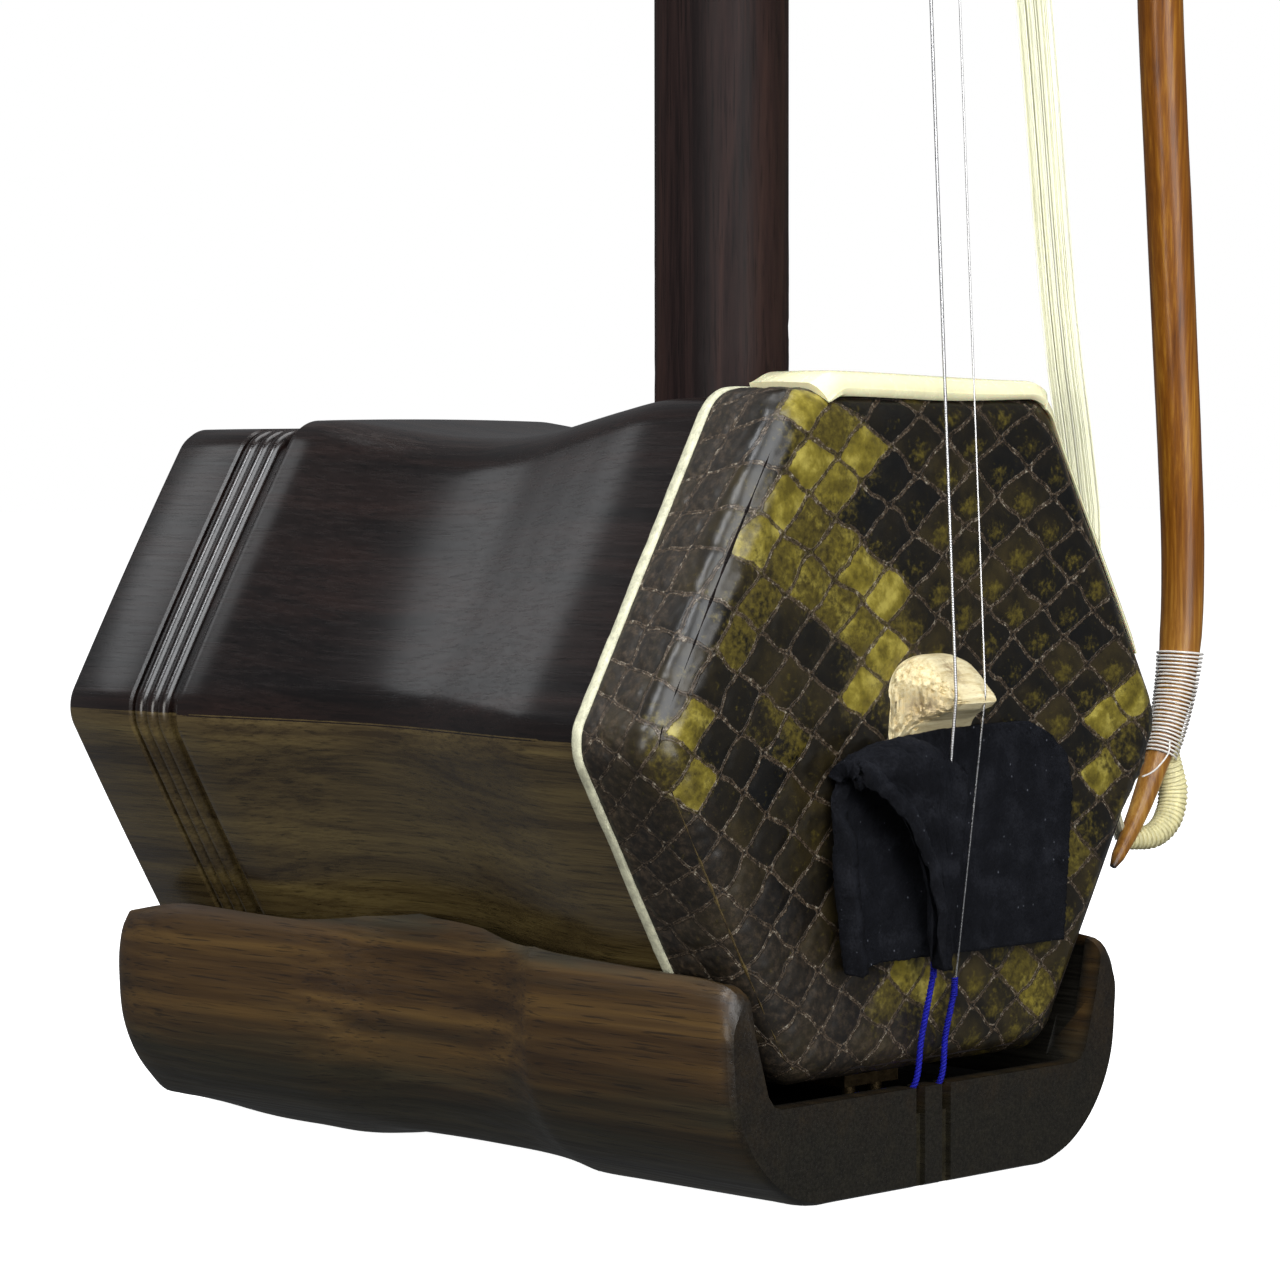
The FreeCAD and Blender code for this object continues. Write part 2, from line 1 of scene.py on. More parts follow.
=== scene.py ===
"""Looks of the erhu and its bow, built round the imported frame.

Shapes are worked out in millimetres about the centre of the skin's front face (+X right,
+Y back, +Z up), and moved into the frame when their mesh is made.
"""

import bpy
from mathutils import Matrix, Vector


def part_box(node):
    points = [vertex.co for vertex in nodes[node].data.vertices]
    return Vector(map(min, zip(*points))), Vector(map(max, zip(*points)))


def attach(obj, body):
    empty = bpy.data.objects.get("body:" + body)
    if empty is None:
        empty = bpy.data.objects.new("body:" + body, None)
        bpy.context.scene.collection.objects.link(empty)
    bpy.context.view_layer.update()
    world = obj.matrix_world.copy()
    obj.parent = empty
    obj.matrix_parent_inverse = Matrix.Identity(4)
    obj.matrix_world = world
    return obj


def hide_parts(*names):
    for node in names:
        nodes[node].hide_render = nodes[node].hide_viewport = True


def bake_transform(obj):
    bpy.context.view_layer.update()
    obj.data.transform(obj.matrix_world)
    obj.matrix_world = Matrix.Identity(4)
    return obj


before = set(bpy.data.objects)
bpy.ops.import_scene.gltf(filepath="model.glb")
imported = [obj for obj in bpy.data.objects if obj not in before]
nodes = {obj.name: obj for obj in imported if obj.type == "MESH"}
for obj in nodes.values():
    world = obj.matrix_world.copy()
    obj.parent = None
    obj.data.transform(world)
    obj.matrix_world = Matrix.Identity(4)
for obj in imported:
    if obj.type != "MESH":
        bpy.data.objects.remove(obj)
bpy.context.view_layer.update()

import math

import bmesh
import bpy
import numpy as np
from mathutils import Matrix, Vector

rng = np.random.default_rng(11)
MM = 0.001
skin_low, skin_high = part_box("python_skin")
ORIGIN = np.array([(skin_low.x + skin_high.x) / 2, skin_low.y, (skin_low.z + skin_high.z) / 2])
TAN30 = math.tan(math.pi / 6)
CELL_U, CELL_V = 5.8, 6.5      # width of a skin scale across each family of lines


# ---------------------------------------------------------------- numbers and curves

def unit(v):
    v = np.asarray(v, float)
    return v / np.maximum(np.linalg.norm(v, axis=-1, keepdims=True), 1e-12)


def ease(x, low, high):
    """0 below low, 1 above high, and smooth between."""
    f = np.clip((x - low) / (high - low), 0, 1)
    return f * f * (3 - 2 * f)


def smooth(points, samples):
    """Even samples of a smooth curve through the points."""
    p = np.asarray(points, float)
    t = np.concatenate([[0], np.cumsum(np.linalg.norm(np.diff(p, axis=0), axis=1))])
    slope = np.gradient(p, t, axis=0)
    s = np.linspace(0, t[-1], samples)
    i = np.clip(np.searchsorted(t, s, side="right") - 1, 0, len(t) - 2)
    h = (t[i + 1] - t[i])[:, None]
    f = (s - t[i])[:, None] / h
    return ((2 * f**3 - 3 * f**2 + 1) * p[i] + (f**3 - 2 * f**2 + f) * h * slope[i]
            + (3 * f**2 - 2 * f**3) * p[i + 1] + (f**3 - f**2) * h * slope[i + 1])


def waves(points, size, seed, octaves=3):
    """Smooth seeded noise of about -1 to 1 at each point, with features of that size in mm."""
    draw = np.random.default_rng(seed)
    value = np.zeros(len(points))
    weight = 1.0
    for octave in range(octaves):
        for _ in range(5):
            direction = unit(draw.normal(size=3)) * 2 * math.pi / size * 2**octave
            value += weight * np.sin(points @ direction + draw.uniform(0, 6.3))
        weight *= 0.55
    return value / 4.5


def frames(path):
    """Tangents and a steady pair of normals along a path."""
    tangent = unit(np.gradient(path, axis=0))
    normal = np.empty_like(path)
    n = np.cross(tangent[0], (0.0, 1.0, 0.0))
    if np.linalg.norm(n) < 1e-3:
        n = np.cross(tangent[0], (1.0, 0.0, 0.0))
    for i, t in enumerate(tangent):
        n = unit(n - t * (n @ t))
        normal[i] = n
    return tangent, normal, np.cross(tangent, normal)


def grid(rows, cols, wrap_rows=False, wrap_cols=False):
    """Quads over points numbered row by row."""
    r = np.arange(rows if wrap_rows else rows - 1)[:, None]
    c = np.arange(cols if wrap_cols else cols - 1)[None, :]
    r1, c1 = (r + 1) % rows, (c + 1) % cols
    return np.stack([r * cols + c, r * cols + c1, r1 * cols + c1, r1 * cols + c],
                    -1).reshape(-1, 4).tolist()


def loft(rings):
    """A closed shape through rings of points, with a face over each end."""
    n = len(rings[0])
    last = (len(rings) - 1) * n
    ends = [list(range(n)), list(range(last + n - 1, last - 1, -1))]
    return np.concatenate(rings), grid(len(rings), n, wrap_cols=True) + ends


def level(y, x, z):
    """Points with these x and z, all at one depth."""
    return np.stack([x, np.full_like(x, y), z], 1)


def tube(path, radius, sides=10):
    """A round bar along a path, closed at both ends."""
    path = np.asarray(path, float)
    radius = np.broadcast_to(radius, len(path))
    _, n, b = frames(path)
    a = np.arange(sides) * 2 * math.pi / sides
    ring = np.cos(a)[None, :, None] * n[:, None] + np.sin(a)[None, :, None] * b[:, None]
    return loft(path[:, None] + radius[:, None, None] * ring)


def coil(path, radius, turns, phase=0.0, samples=None):
    """A helix round a path."""
    path = smooth(path, samples or int(turns * 16) + 2)
    _, n, b = frames(path)
    angle = (phase + 2 * math.pi * turns * np.linspace(0, 1, len(path)))[:, None]
    radius = np.broadcast_to(radius, len(path))[:, None]
    return path + radius * (np.cos(angle) * n + np.sin(angle) * b)


def joined(parts):
    """One mesh from several (points, faces)."""
    points, faces, start = [], [], 0
    for p, f in parts:
        points.append(p)
        faces += [[i + start for i in face] for face in f]
        start += len(p)
    return np.concatenate(points), faces


# ---------------------------------------------------------------- objects

def mesh_of(name, shape):
    """A mesh in the frame from (points, faces) in millimetres."""
    mesh = bpy.data.meshes.new(name)
    mesh.from_pydata((np.asarray(shape[0]) * MM + ORIGIN).tolist(), [], shape[1])
    bm = bmesh.new()
    bm.from_mesh(mesh)
    bmesh.ops.recalc_face_normals(bm, faces=bm.faces)
    bm.to_mesh(mesh)
    bm.free()
    return mesh


def piece(name, shape, look, slot, body, sharp=40.0, attributes=()):
    """A visible piece from (points, faces) in millimetres, on its body if it has one."""
    mesh = mesh_of(name, shape)
    for label, values in attributes:
        kind, field = ("FLOAT_VECTOR", "vector") if values.ndim == 2 else ("FLOAT", "value")
        layer = mesh.attributes.new(label, kind, "POINT")
        layer.data.foreach_set(field, values.astype(np.float32).ravel())
    mesh.shade_smooth()
    mesh.set_sharp_from_angle(angle=math.radians(sharp))
    mesh.materials.append(look)
    obj = bpy.data.objects.new(name, mesh)
    bpy.context.scene.collection.objects.link(obj)
    if body:
        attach(obj, body)
    return obj


def build(node, shape, look, slot, body="instrument", **more):
    """A visible piece in place of one CAD node."""
    obj = piece("visual_" + node, shape, look, slot, body, **more)
    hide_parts(node)
    return obj


def read(mesh, field):
    """Positions ("co") or normals ("normal") of a mesh's vertices."""
    values = np.empty(len(mesh.vertices) * 3, np.float32)
    mesh.vertices.foreach_get(field, values)
    return values.reshape(-1, 3).astype(float)


def baked(obj):
    """The object's mesh with its modifiers applied."""
    view = bpy.context.evaluated_depsgraph_get()
    view.update()
    mesh = bpy.data.meshes.new_from_object(obj.evaluated_get(view))
    obj.modifiers.clear()
    obj.data = mesh
    return mesh


def carve(obj, cutters):
    """Cut closed shapes, given as (points, faces), out of an object's mesh."""
    for cutter in cutters:
        tool = bpy.data.objects.new("cutter", mesh_of("cutter", cutter))
        bpy.context.scene.collection.objects.link(tool)
        cut = obj.modifiers.new("cut", "BOOLEAN")
        cut.operation, cut.solver, cut.object = "DIFFERENCE", "EXACT", tool
        baked(obj)
        bpy.data.objects.remove(tool)
    obj.data.shade_smooth()
    obj.data.set_sharp_from_angle(angle=math.radians(32))


def prism(outline, low, high, axis=1):
    """A closed prism from an outline in the two other axes."""
    return loft([np.insert(np.asarray(outline, float), axis, end, axis=1)
                 for end in (low, high)])


def paint(look, *names):
    """Give carried-over CAD nodes their material."""
    for name in names:
        obj = nodes[name]
        if not obj.material_slots:
            obj.data.materials.append(None)
        for place in obj.material_slots:
            place.link = "OBJECT"
            place.material = look


# ---------------------------------------------------------------- materials

class Look:
    """A small helper for one node material."""

    def __init__(self, name):
        self.material = bpy.data.materials.new(name)
        self.material.use_nodes = True
        self.tree = self.material.node_tree
        self.shader = self.tree.nodes["Principled BSDF"]

    def put(self, socket, value):
        if isinstance(value, bpy.types.NodeSocket):
            self.tree.links.new(value, socket)
        elif isinstance(value, tuple) and len(value) == 3 and socket.type == "RGBA":
            socket.default_value = (*value, 1.0)
        else:
            socket.default_value = value

    def add(self, kind, inputs, output=0, **settings):
        node = self.tree.nodes.new("ShaderNode" + kind)
        for key, value in settings.items():
            setattr(node, key, value)
        for key, value in inputs.items():
            self.put(node.inputs[key], value)
        return node.outputs[output]

    def place(self, stretch=(1, 1, 1)):
        """The piece's own coordinates in millimetres, stretched along its axes."""
        return self.add("Mapping", {"Vector": self.add("TexCoord", {}, output="Object"),
                                    "Scale": tuple(1.0 / (s * MM) for s in stretch)})

    def noise(self, size, detail=3.0, rough=0.5, distortion=0.0, stretch=(1, 1, 1)):
        return self.add("TexNoise", {"Vector": self.place(stretch), "Scale": 1.0 / size,
                                     "Detail": detail, "Roughness": rough,
                                     "Distortion": distortion})

    def cells(self, size, stretch=(1, 1, 1)):
        return self.add("TexVoronoi", {"Vector": self.place(stretch), "Scale": 1.0 / size})

    def math(self, operation, a, b=0.0):
        return self.add("Math", {0: a, 1: b}, operation=operation)

    def times(self, a, b):
        return self.math("MULTIPLY", a, b)

    def total(self, *terms):
        """Sum of values, each times its weight."""
        parts = [self.times(value, weight) for value, weight in terms]
        return self.math("ADD", *parts)

    def stirred(self, value, noise, amount):
        """The value, moved up and down by a noise about its middle."""
        return self.math("ADD", value, self.times(self.math("SUBTRACT", noise, 0.5), amount))

    def remap(self, value, low, high, to_low=0.0, to_high=1.0):
        return self.add("MapRange", {"Value": value, "From Min": low, "From Max": high,
                                     "To Min": to_low, "To Max": to_high},
                        interpolation_type="SMOOTHSTEP")

    def ramp(self, value, *stops):
        node = self.tree.nodes.new("ShaderNodeValToRGB")
        ramp = node.color_ramp
        while len(ramp.elements) < len(stops):
            ramp.elements.new(0.5)
        for element, (position, colour) in zip(ramp.elements, stops):
            element.position = position
            element.color = (*colour, 1.0)
        self.put(node.inputs[0], value)
        return node.outputs[0]

    def mix(self, factor, a, b):
        return self.add("Mix", {0: factor, 6: a, 7: b}, output=2, data_type="RGBA")

    def attribute(self, name, output="Fac"):
        return self.add("Attribute", {}, output=output, attribute_name=name)

    def split(self, vector, axis):
        return self.add("SeparateXYZ", {0: vector}, output=axis)

    def bump(self, height, distance_mm, strength=1.0):
        return self.add("Bump", {"Height": height, "Distance": distance_mm * MM,
                                 "Strength": strength})

    def finish(self, **sockets):
        for key, value in sockets.items():
            self.put(self.shader.inputs[key.replace("_", " ")], value)
        return self.material


def rosewood(name, along, dark, mid, light, streak=5.0, glow=0.5, rough=0.25, coat=0.3,
             shine=0.4):
    """Dark wood with streaks and pores along one axis (0, 1 or 2)."""
    look = Look(name)
    long, fine = (tuple(stretch if axis == along else 1.0 for axis in range(3))
                  for stretch in (22.0, 30.0))
    broad = look.noise(streak, 5.0, 0.62, 0.6, stretch=long)
    thin = look.noise(0.55, 4.0, 0.7, stretch=fine)
    pores = look.noise(0.28, 2.0, stretch=fine)
    lines = look.total((broad, 0.7), (thin, 0.3))
    colour = look.ramp(lines, (0.38, dark), (0.5, mid), (0.5 + 0.16 / max(glow, 0.2), light))
    pore = look.remap(pores, 0.56, 0.68)
    colour = look.mix(look.times(pore, 0.55), colour, tuple(c * 0.25 for c in dark))
    height = look.math("SUBTRACT", look.times(thin, 0.5), pore)
    return look.finish(Base_Color=colour, Roughness=look.remap(thin, 0.3, 0.75, rough - 0.02,
                                                              rough + 0.09),
                       Coat_Weight=coat, Coat_Roughness=0.17, Specular_IOR_Level=shine,
                       Normal=look.bump(height, 0.02, 0.35))


def skin_look():
    look = Look("skin_finish")
    lattice = look.attribute("lattice", "Vector")
    wobble = look.noise(2.6, 3.0)
    gaps = []
    for axis, width in ((0, CELL_U), (1, CELL_V)):
        value = look.stirred(look.split(lattice, axis), wobble, 0.16)
        part = look.math("FRACT", look.math("ADD", value, 0.5))
        gaps.append(look.times(look.math("ABSOLUTE", look.math("SUBTRACT", part, 0.5)), width))
    gap = look.add("Math", {0: gaps[0], 1: gaps[1], 2: 0.9}, operation="SMOOTH_MIN")
    gap = look.stirred(gap, look.noise(0.5, 4.0, 0.7), 0.5)
    line = look.times(look.remap(gap, -0.12, 0.12), look.remap(gap, 0.36, 0.2))
    core = look.remap(gap, 0.14, -0.1)
    band = look.attribute("band")
    broad = look.noise(5.0, 4.0, 0.6)
    grain = look.noise(0.9, 4.0, 0.65)
    shade = look.total((broad, 0.55), (look.attribute("tone"), 0.35))
    colour = look.ramp(shade, (0.26, (0.003, 0.003, 0.003)), (0.46, (0.009, 0.007, 0.004)),
                       (0.64, (0.030, 0.022, 0.008)), (0.8, (0.060, 0.045, 0.014)))
    blotch = look.stirred(look.attribute("gold"), grain, 0.9)
    colour = look.mix(look.remap(blotch, 0.10, 0.45), colour,
                      look.ramp(grain, (0.3, (0.034, 0.025, 0.005)), (0.7, (0.105, 0.082, 0.013))))
    colour = look.mix(look.remap(blotch, 0.46, 0.95), colour,
                      look.ramp(look.noise(3.2, 5.0, 0.6),
                                (0.34, (0.085, 0.066, 0.008)), (0.5, (0.19, 0.152, 0.019)),
                                (0.66, (0.37, 0.310, 0.062))))
    rough_brown = look.ramp(look.noise(1.1, 6.0, 0.75),
                            (0.3, (0.004, 0.0035, 0.003)), (0.5, (0.020, 0.014, 0.009)),
                            (0.68, (0.085, 0.058, 0.036)))
    colour = look.mix(look.times(band, 0.62), colour, rough_brown)
    # Seams: the brown tones are the seams' own colour; the whitish top of this ramp is painted
    # glints, standing in for highlights on the raised seam edges.
    seam_glint_noise = look.noise(0.8, 4.0, 0.8)
    pale = look.ramp(seam_glint_noise, (0.40, (0.012, 0.008, 0.004)), (0.56, (0.085, 0.058, 0.036)),
                     (0.70, (0.42, 0.38, 0.30)))
    colour = look.mix(look.times(line, 0.9), colour, pale)
    colour = look.mix(look.times(core, 0.75), colour, (0.008, 0.005, 0.003))
    height = look.total((line, 0.6), (grain, 0.22))
    rough = look.remap(look.math("ADD", band, look.times(line, 0.3)), 0.0, 1.0, 0.34, 0.58)
    return look.finish(Base_Color=colour, Roughness=rough, Coat_Weight=0.12, Coat_Roughness=0.2,
                       Specular_IOR_Level=0.36, Normal=look.bump(height, 0.11, 1.0))


def plain_look(name, colour, spread, size, rough, bump_mm=0.0, stretch=(1, 1, 1), **more):
    """A surface with soft colour variation between two tones and a fine relief."""
    look = Look(name)
    noise = look.noise(size, 5.0, 0.6, stretch=stretch)
    fine = look.noise(size * 0.22, 3.0, 0.6, stretch=stretch)
    both = look.total((noise, 0.6), (fine, 0.4))
    tint = look.ramp(both, (0.34, tuple(c * (1 - spread) for c in colour)), (0.5, colour),
                     (0.66, tuple(min(1.0, c * (1 + spread)) for c in colour)))
    if bump_mm:
        more["Normal"] = look.bump(fine, bump_mm)
    return look.finish(Base_Color=tint, Roughness=look.remap(fine, 0.3, 0.7, rough * 0.85,
                                                             min(1.0, rough * 1.2)), **more)


def maple_look():
    look = Look("maple_finish")
    grain = look.noise(0.5, 4.0, 0.6, stretch=(9, 1, 1))
    flecks = look.noise(0.16, 2.0, stretch=(5, 1, 1))
    colour = look.ramp(grain, (0.3, (0.58, 0.46, 0.23)), (0.5, (0.74, 0.64, 0.39)),
                       (0.7, (0.84, 0.77, 0.52)))
    colour = look.mix(look.remap(flecks, 0.58, 0.7, 0, 0.35), colour, (0.40, 0.25, 0.10))
    broken = look.attribute("broken")
    splinter = look.noise(0.7, 5.0, 0.75)
    fresh = look.ramp(splinter, (0.3, (0.30, 0.20, 0.09)), (0.42, (0.62, 0.49, 0.25)),
                      (0.6, (0.84, 0.74, 0.46)))
    colour = look.mix(broken, colour, fresh)
    # Darker brown on the bridge: real scuffs near the ridge's top, and painted shade in the dent on
    # the broken left face.
    worn_and_dent_shade = look.times(look.attribute("scuff_and_dent_shade"), look.remap(splinter, 0.35, 0.6))
    colour = look.mix(worn_and_dent_shade, colour, (0.20, 0.125, 0.06))
    height = look.math("ADD", look.times(grain, 0.3),
                       look.times(splinter, look.times(broken, 1.2)))
    return look.finish(Base_Color=colour, Roughness=0.55, Normal=look.bump(height, 0.14))


def felt_look():
    look = Look("felt_finish")
    fibre = look.noise(0.35, 6.0, 0.8)
    cloud = look.noise(3.5, 3.0)
    colour = look.ramp(look.total((fibre, 0.55), (cloud, 0.45)),
                       (0.36, (0.0008, 0.0009, 0.0016)), (0.5, (0.0032, 0.0034, 0.0050)),
                       (0.66, (0.017, 0.018, 0.023)))
    lint = look.remap(look.cells(1.5, stretch=(1, 1, 1.6)), 0.085, 0.03)
    colour = look.mix(look.times(lint, 0.55), colour, (0.30, 0.32, 0.38))
    return look.finish(Base_Color=colour, Roughness=0.95, Sheen_Weight=0.03,
                       Sheen_Roughness=0.5, Sheen_Tint=(0.35, 0.40, 0.60, 1.0),
                       Specular_IOR_Level=0.15, Normal=look.bump(fibre, 0.35))


def base_look():
    """Dark wood whose cheeks warm to orange-brown towards their upper edge."""
    look = Look("base_finish")
    where = look.place()
    height = look.stirred(look.split(where, 2), look.noise(6.0, 4.0, 0.6, stretch=(1, 9, 1)), 30.0)
    warm = look.times(look.remap(height, 6.0, 22.0), look.remap(height, 38.0, 29.0))
    behind = look.remap(look.split(where, 1), -23.4, -20.5)
    streak = look.noise(2.4, 6.0, 0.62, 0.3, stretch=(1, 45, 1))
    thin = look.noise(0.5, 4.0, 0.7, stretch=(1, 40, 1))
    orange = look.ramp(streak, (0.30, (0.020, 0.010, 0.004)), (0.5, (0.047, 0.025, 0.008)),
                       (0.70, (0.090, 0.050, 0.014)))
    olive = look.ramp(streak, (0.32, (0.012, 0.010, 0.005)), (0.52, (0.025, 0.021, 0.011)),
                      (0.70, (0.044, 0.036, 0.018)))
    colour = look.mix(warm, olive, orange)
    black = look.ramp(thin, (0.4, (0.004, 0.0035, 0.0025)), (0.65, (0.011, 0.0095, 0.0065)))
    colour = look.mix(behind, black, colour)
    # Faces inside the base's hollow are painted near-black: painted shade under the resonator.
    colour = look.mix(look.attribute("shaded_inside"), colour, black)
    pore = look.remap(look.noise(0.3, 2.0, stretch=(1, 30, 1)), 0.57, 0.68)
    colour = look.mix(look.times(pore, 0.6), colour, (0.006, 0.004, 0.003))
    return look.finish(Base_Color=colour, Roughness=look.remap(thin, 0.3, 0.7, 0.34, 0.5),
                       Coat_Weight=0.1, Coat_Roughness=0.25, Specular_IOR_Level=0.35,
                       Normal=look.bump(look.math("SUBTRACT", thin, pore), 0.03, 0.5))


def bamboo_look():
    look = Look("bamboo_finish")
    fibre = look.noise(0.55, 5.0, 0.7, stretch=(1, 1, 34))
    broad = look.noise(3.0, 4.0, stretch=(1, 1, 12))
    tone = look.total((fibre, 0.6), (broad, 0.4))
    colour = look.ramp(tone, (0.32, (0.075, 0.020, 0.002)), (0.5, (0.20, 0.066, 0.005)),
                       (0.68, (0.41, 0.185, 0.018)))
    pale = look.ramp(tone, (0.34, (0.19, 0.070, 0.011)), (0.5, (0.37, 0.17, 0.028)),
                     (0.66, (0.56, 0.32, 0.075)))
    colour = look.mix(look.attribute("pale"), colour, pale)
    colour = look.mix(look.attribute("burnt"), colour, (0.03, 0.016, 0.009))
    return look.finish(Base_Color=colour, Roughness=0.36, Coat_Weight=0.15, Coat_Roughness=0.16,
                       Specular_IOR_Level=0.3, Normal=look.bump(fibre, 0.05, 0.7))


def wound_look(name, dark, light, rough, metallic, pitch):
    """Wire or thread with fine turns across the piece's length."""
    look = Look(name)
    turns = look.add("TexWave", {"Vector": look.place(), "Scale": 1.0 / pitch,
                                 "Distortion": 0.2}, output="Fac", bands_direction="Z")
    smear = look.noise(2.0, 3.0, stretch=(1, 1, 8))
    colour = look.ramp(look.total((turns, 0.5), (smear, 0.5)), (0.3, dark), (0.7, light))
    return look.finish(Base_Color=colour, Roughness=rough, Metallic=metallic,
                       Normal=look.bump(turns, 0.03, 0.6))


WOOD_TOP = rosewood("wood_top", 1, (0.006, 0.004, 0.004), (0.014, 0.009, 0.008),
                    (0.034, 0.021, 0.016))
WOOD_BLACK = rosewood("wood_upper_left", 1, (0.003, 0.002, 0.002), (0.007, 0.004, 0.0035),
                      (0.019, 0.009, 0.007), rough=0.22)
WOOD_BROWN = rosewood("wood_lower_left", 1, (0.028, 0.018, 0.008), (0.072, 0.050, 0.019),
                      (0.140, 0.102, 0.036), streak=6.0, glow=0.9)
WOOD_NECK = rosewood("wood_neck", 2, (0.006, 0.003, 0.003), (0.018, 0.009, 0.008),
                     (0.048, 0.023, 0.017), streak=4.0, rough=0.5, coat=0.0,
                     shine=0.16)
SKIN = skin_look()
BASE = base_look()
STRIP = plain_look("strip_finish", (0.54, 0.53, 0.38), 0.36, 1.6, 0.6, 0.05)
IVORY = plain_look("ivory_finish", (0.88, 0.84, 0.54), 0.06, 5.0, 0.24, 0.01,
                   Coat_Weight=0.3, Subsurface_Weight=0.12, Subsurface_Scale=0.002)
MAPLE = maple_look()
FELT = felt_look()
BAMBOO = bamboo_look()
EBONY = rosewood("ebony_finish", 2, (0.008, 0.006, 0.006), (0.016, 0.012, 0.011),
                 (0.034, 0.025, 0.021), coat=0.5, rough=0.24)
BRASS = plain_look("brass_finish", (0.72, 0.51, 0.22), 0.12, 1.2, 0.3, 0.01, Metallic=1.0)
# Very dark brass for the string hook: painted shade for the base's front gap where the hook sits.
SHADED_BRASS = plain_look("brass_painted_shade_finish", (0.085, 0.06, 0.03), 0.4, 1.2, 0.5, 0.02, Metallic=1.0)
STEEL = plain_look("steel_finish", (0.55, 0.55, 0.56), 0.14, 1.4, 0.28, 0.01, Metallic=1.0)
WOUND = wound_look("wound_string_finish", (0.30, 0.30, 0.31), (0.72, 0.72, 0.73), 0.3, 1.0, 0.7)
SILK = plain_look("silk_finish", (0.008, 0.009, 0.25), 0.5, 0.5, 0.6, 0.05,
                  Specular_IOR_Level=0.15)
CORD = plain_look("qianjin_finish", (0.020, 0.019, 0.024), 0.5, 0.5, 0.55, 0.05)
KNOT = plain_look("knot_finish", (0.74, 0.68, 0.38), 0.24, 1.2, 0.45, 0.0, (1, 1, 3))
HAIR = plain_look("hair_finish", (0.95, 0.94, 0.72), 0.10, 1.6, 0.42, 0.0, (1, 1, 14),
                  Specular_IOR_Level=0.6)
NYLON = plain_look("nylon_finish", (0.88, 0.85, 0.80), 0.08, 1.0, 0.16, 0.0,
                   Transmission_Weight=0.15, Coat_Weight=0.4)

# ---------------------------------------------------------------- resonator

FLAT_SHARE = 0.8               # share of a side's points that lie on its flat part


def side_points(side, apothem, rounding, t, crown=0.0):
    """x and z of points across one of the six sides, for t from -1 to 1, clockwise."""
    flat = (apothem - rounding) * TAN30
    bend = np.clip((abs(t) - FLAT_SHARE) / (1 - FLAT_SHARE), 0, 1) * math.pi / 6
    along = np.sign(t) * (flat * np.minimum(abs(t) / FLAT_SHARE, 1) + rounding * np.sin(bend))
    out = apothem - rounding * (1 - np.cos(bend)) - crown * t**2
    angle = side * math.pi / 3
    return (out * math.sin(angle) + along * math.cos(angle),
            out * math.cos(angle) - along * math.sin(angle))


def ring(apothem, rounding, per_side):
    """x and z all the way round a rounded hexagon."""
    t = np.arange(per_side) / per_side * 2 - 1
    return np.hstack([side_points(side, apothem, rounding, t) for side in range(6)])


def wood_profile():
    """(y, apothem) down the resonator's side: wave, groove, three beads and rear ring."""
    wave = smooth([(15.0, 45.0), (20, 45.0), (27, 44.8), (36, 43.5), (43, 42.3), (52, 40.8),
                   (63, 39.9), (74, 40.1), (84, 41.1), (92, 42.1), (96, 42.5), (100.7, 42.5)],
                  90)
    profile = [(1.2, 44.6), (6.0, 45.0)] + [tuple(p) for p in wave]
    profile += [(101.1, 42.3), (101.3, 41.6), (101.5, 40.4), (102, 40.2), (104.6, 40.2)]
    for bead in range(3):
        start = 105.0 + 2.6 * bead
        for step in range(13):
            angle = math.pi * step / 12
            profile.append((start + 1.3 - 1.3 * math.cos(angle), 40.1 + 1.15 * math.sin(angle)))
    return np.array(profile + [(112.9, 40.2), (113.0, 41.0), (113.4, 41.3), (126.8, 41.3),
                               (127.6, 41.0), (128.0, 40.3)])


def corner_rounding(y):
    return np.interp(y, [-5, 17, 40, 63, 85, 101, 140], [6.2, 6.2, 9.0, 12.0, 9.5, 6.5, 5.0])


def make_staves():
    profile = wood_profile()
    inner = np.interp(profile[:, 0], [0, 25, 50, 95, 112, 128], [37.5, 37.5, 33.5, 34.5, 36, 36])
    t = np.concatenate([np.linspace(-1, -FLAT_SHARE, 9)[:-1],
                        np.linspace(-FLAT_SHARE, FLAT_SHARE, 19),
                        np.linspace(FLAT_SHARE, 1, 9)[1:]])
    looks = {"stave_top": WOOD_TOP, "stave_upper_right": WOOD_TOP, "stave_lower_right": WOOD_TOP,
             "stave_bottom": WOOD_BLACK, "stave_lower_left": WOOD_BROWN,
             "stave_upper_left": WOOD_BLACK}
    for side, (name, look) in enumerate(looks.items()):
        rows = []
        for (y, apothem), hollow in zip(profile, inner):
            x, z = side_points(side, apothem, corner_rounding(y), t, crown=0.35)
            xi, zi = side_points(side, hollow, 0.0, t[::-1])
            x, z = np.append(x, xi), np.append(z, zi)
            rows.append(level(y, x, z))
        n, cols = len(t), 2 * len(t)
        caps = []
        for row in (0, len(rows) - 1):
            start = row * cols
            caps += [[start + i, start + i + 1, start + cols - 2 - i, start + cols - 1 - i]
                     for i in range(n - 1)]
        shape = (np.concatenate(rows), grid(len(rows), cols, wrap_cols=True) + caps)
        build(name, shape, look, "rosewood", sharp=28)


SKIN_SIDE, SKIN_END = 45.8, 13.6         # apothem of the skin's side band, and where it ends
SKIN_BEND = 4.5                # radius of the turn from its front to its side
SKIN_FLAT = SKIN_SIDE - SKIN_BEND
SKIN_CORNER = 6.2              # rounding of the side band's corners
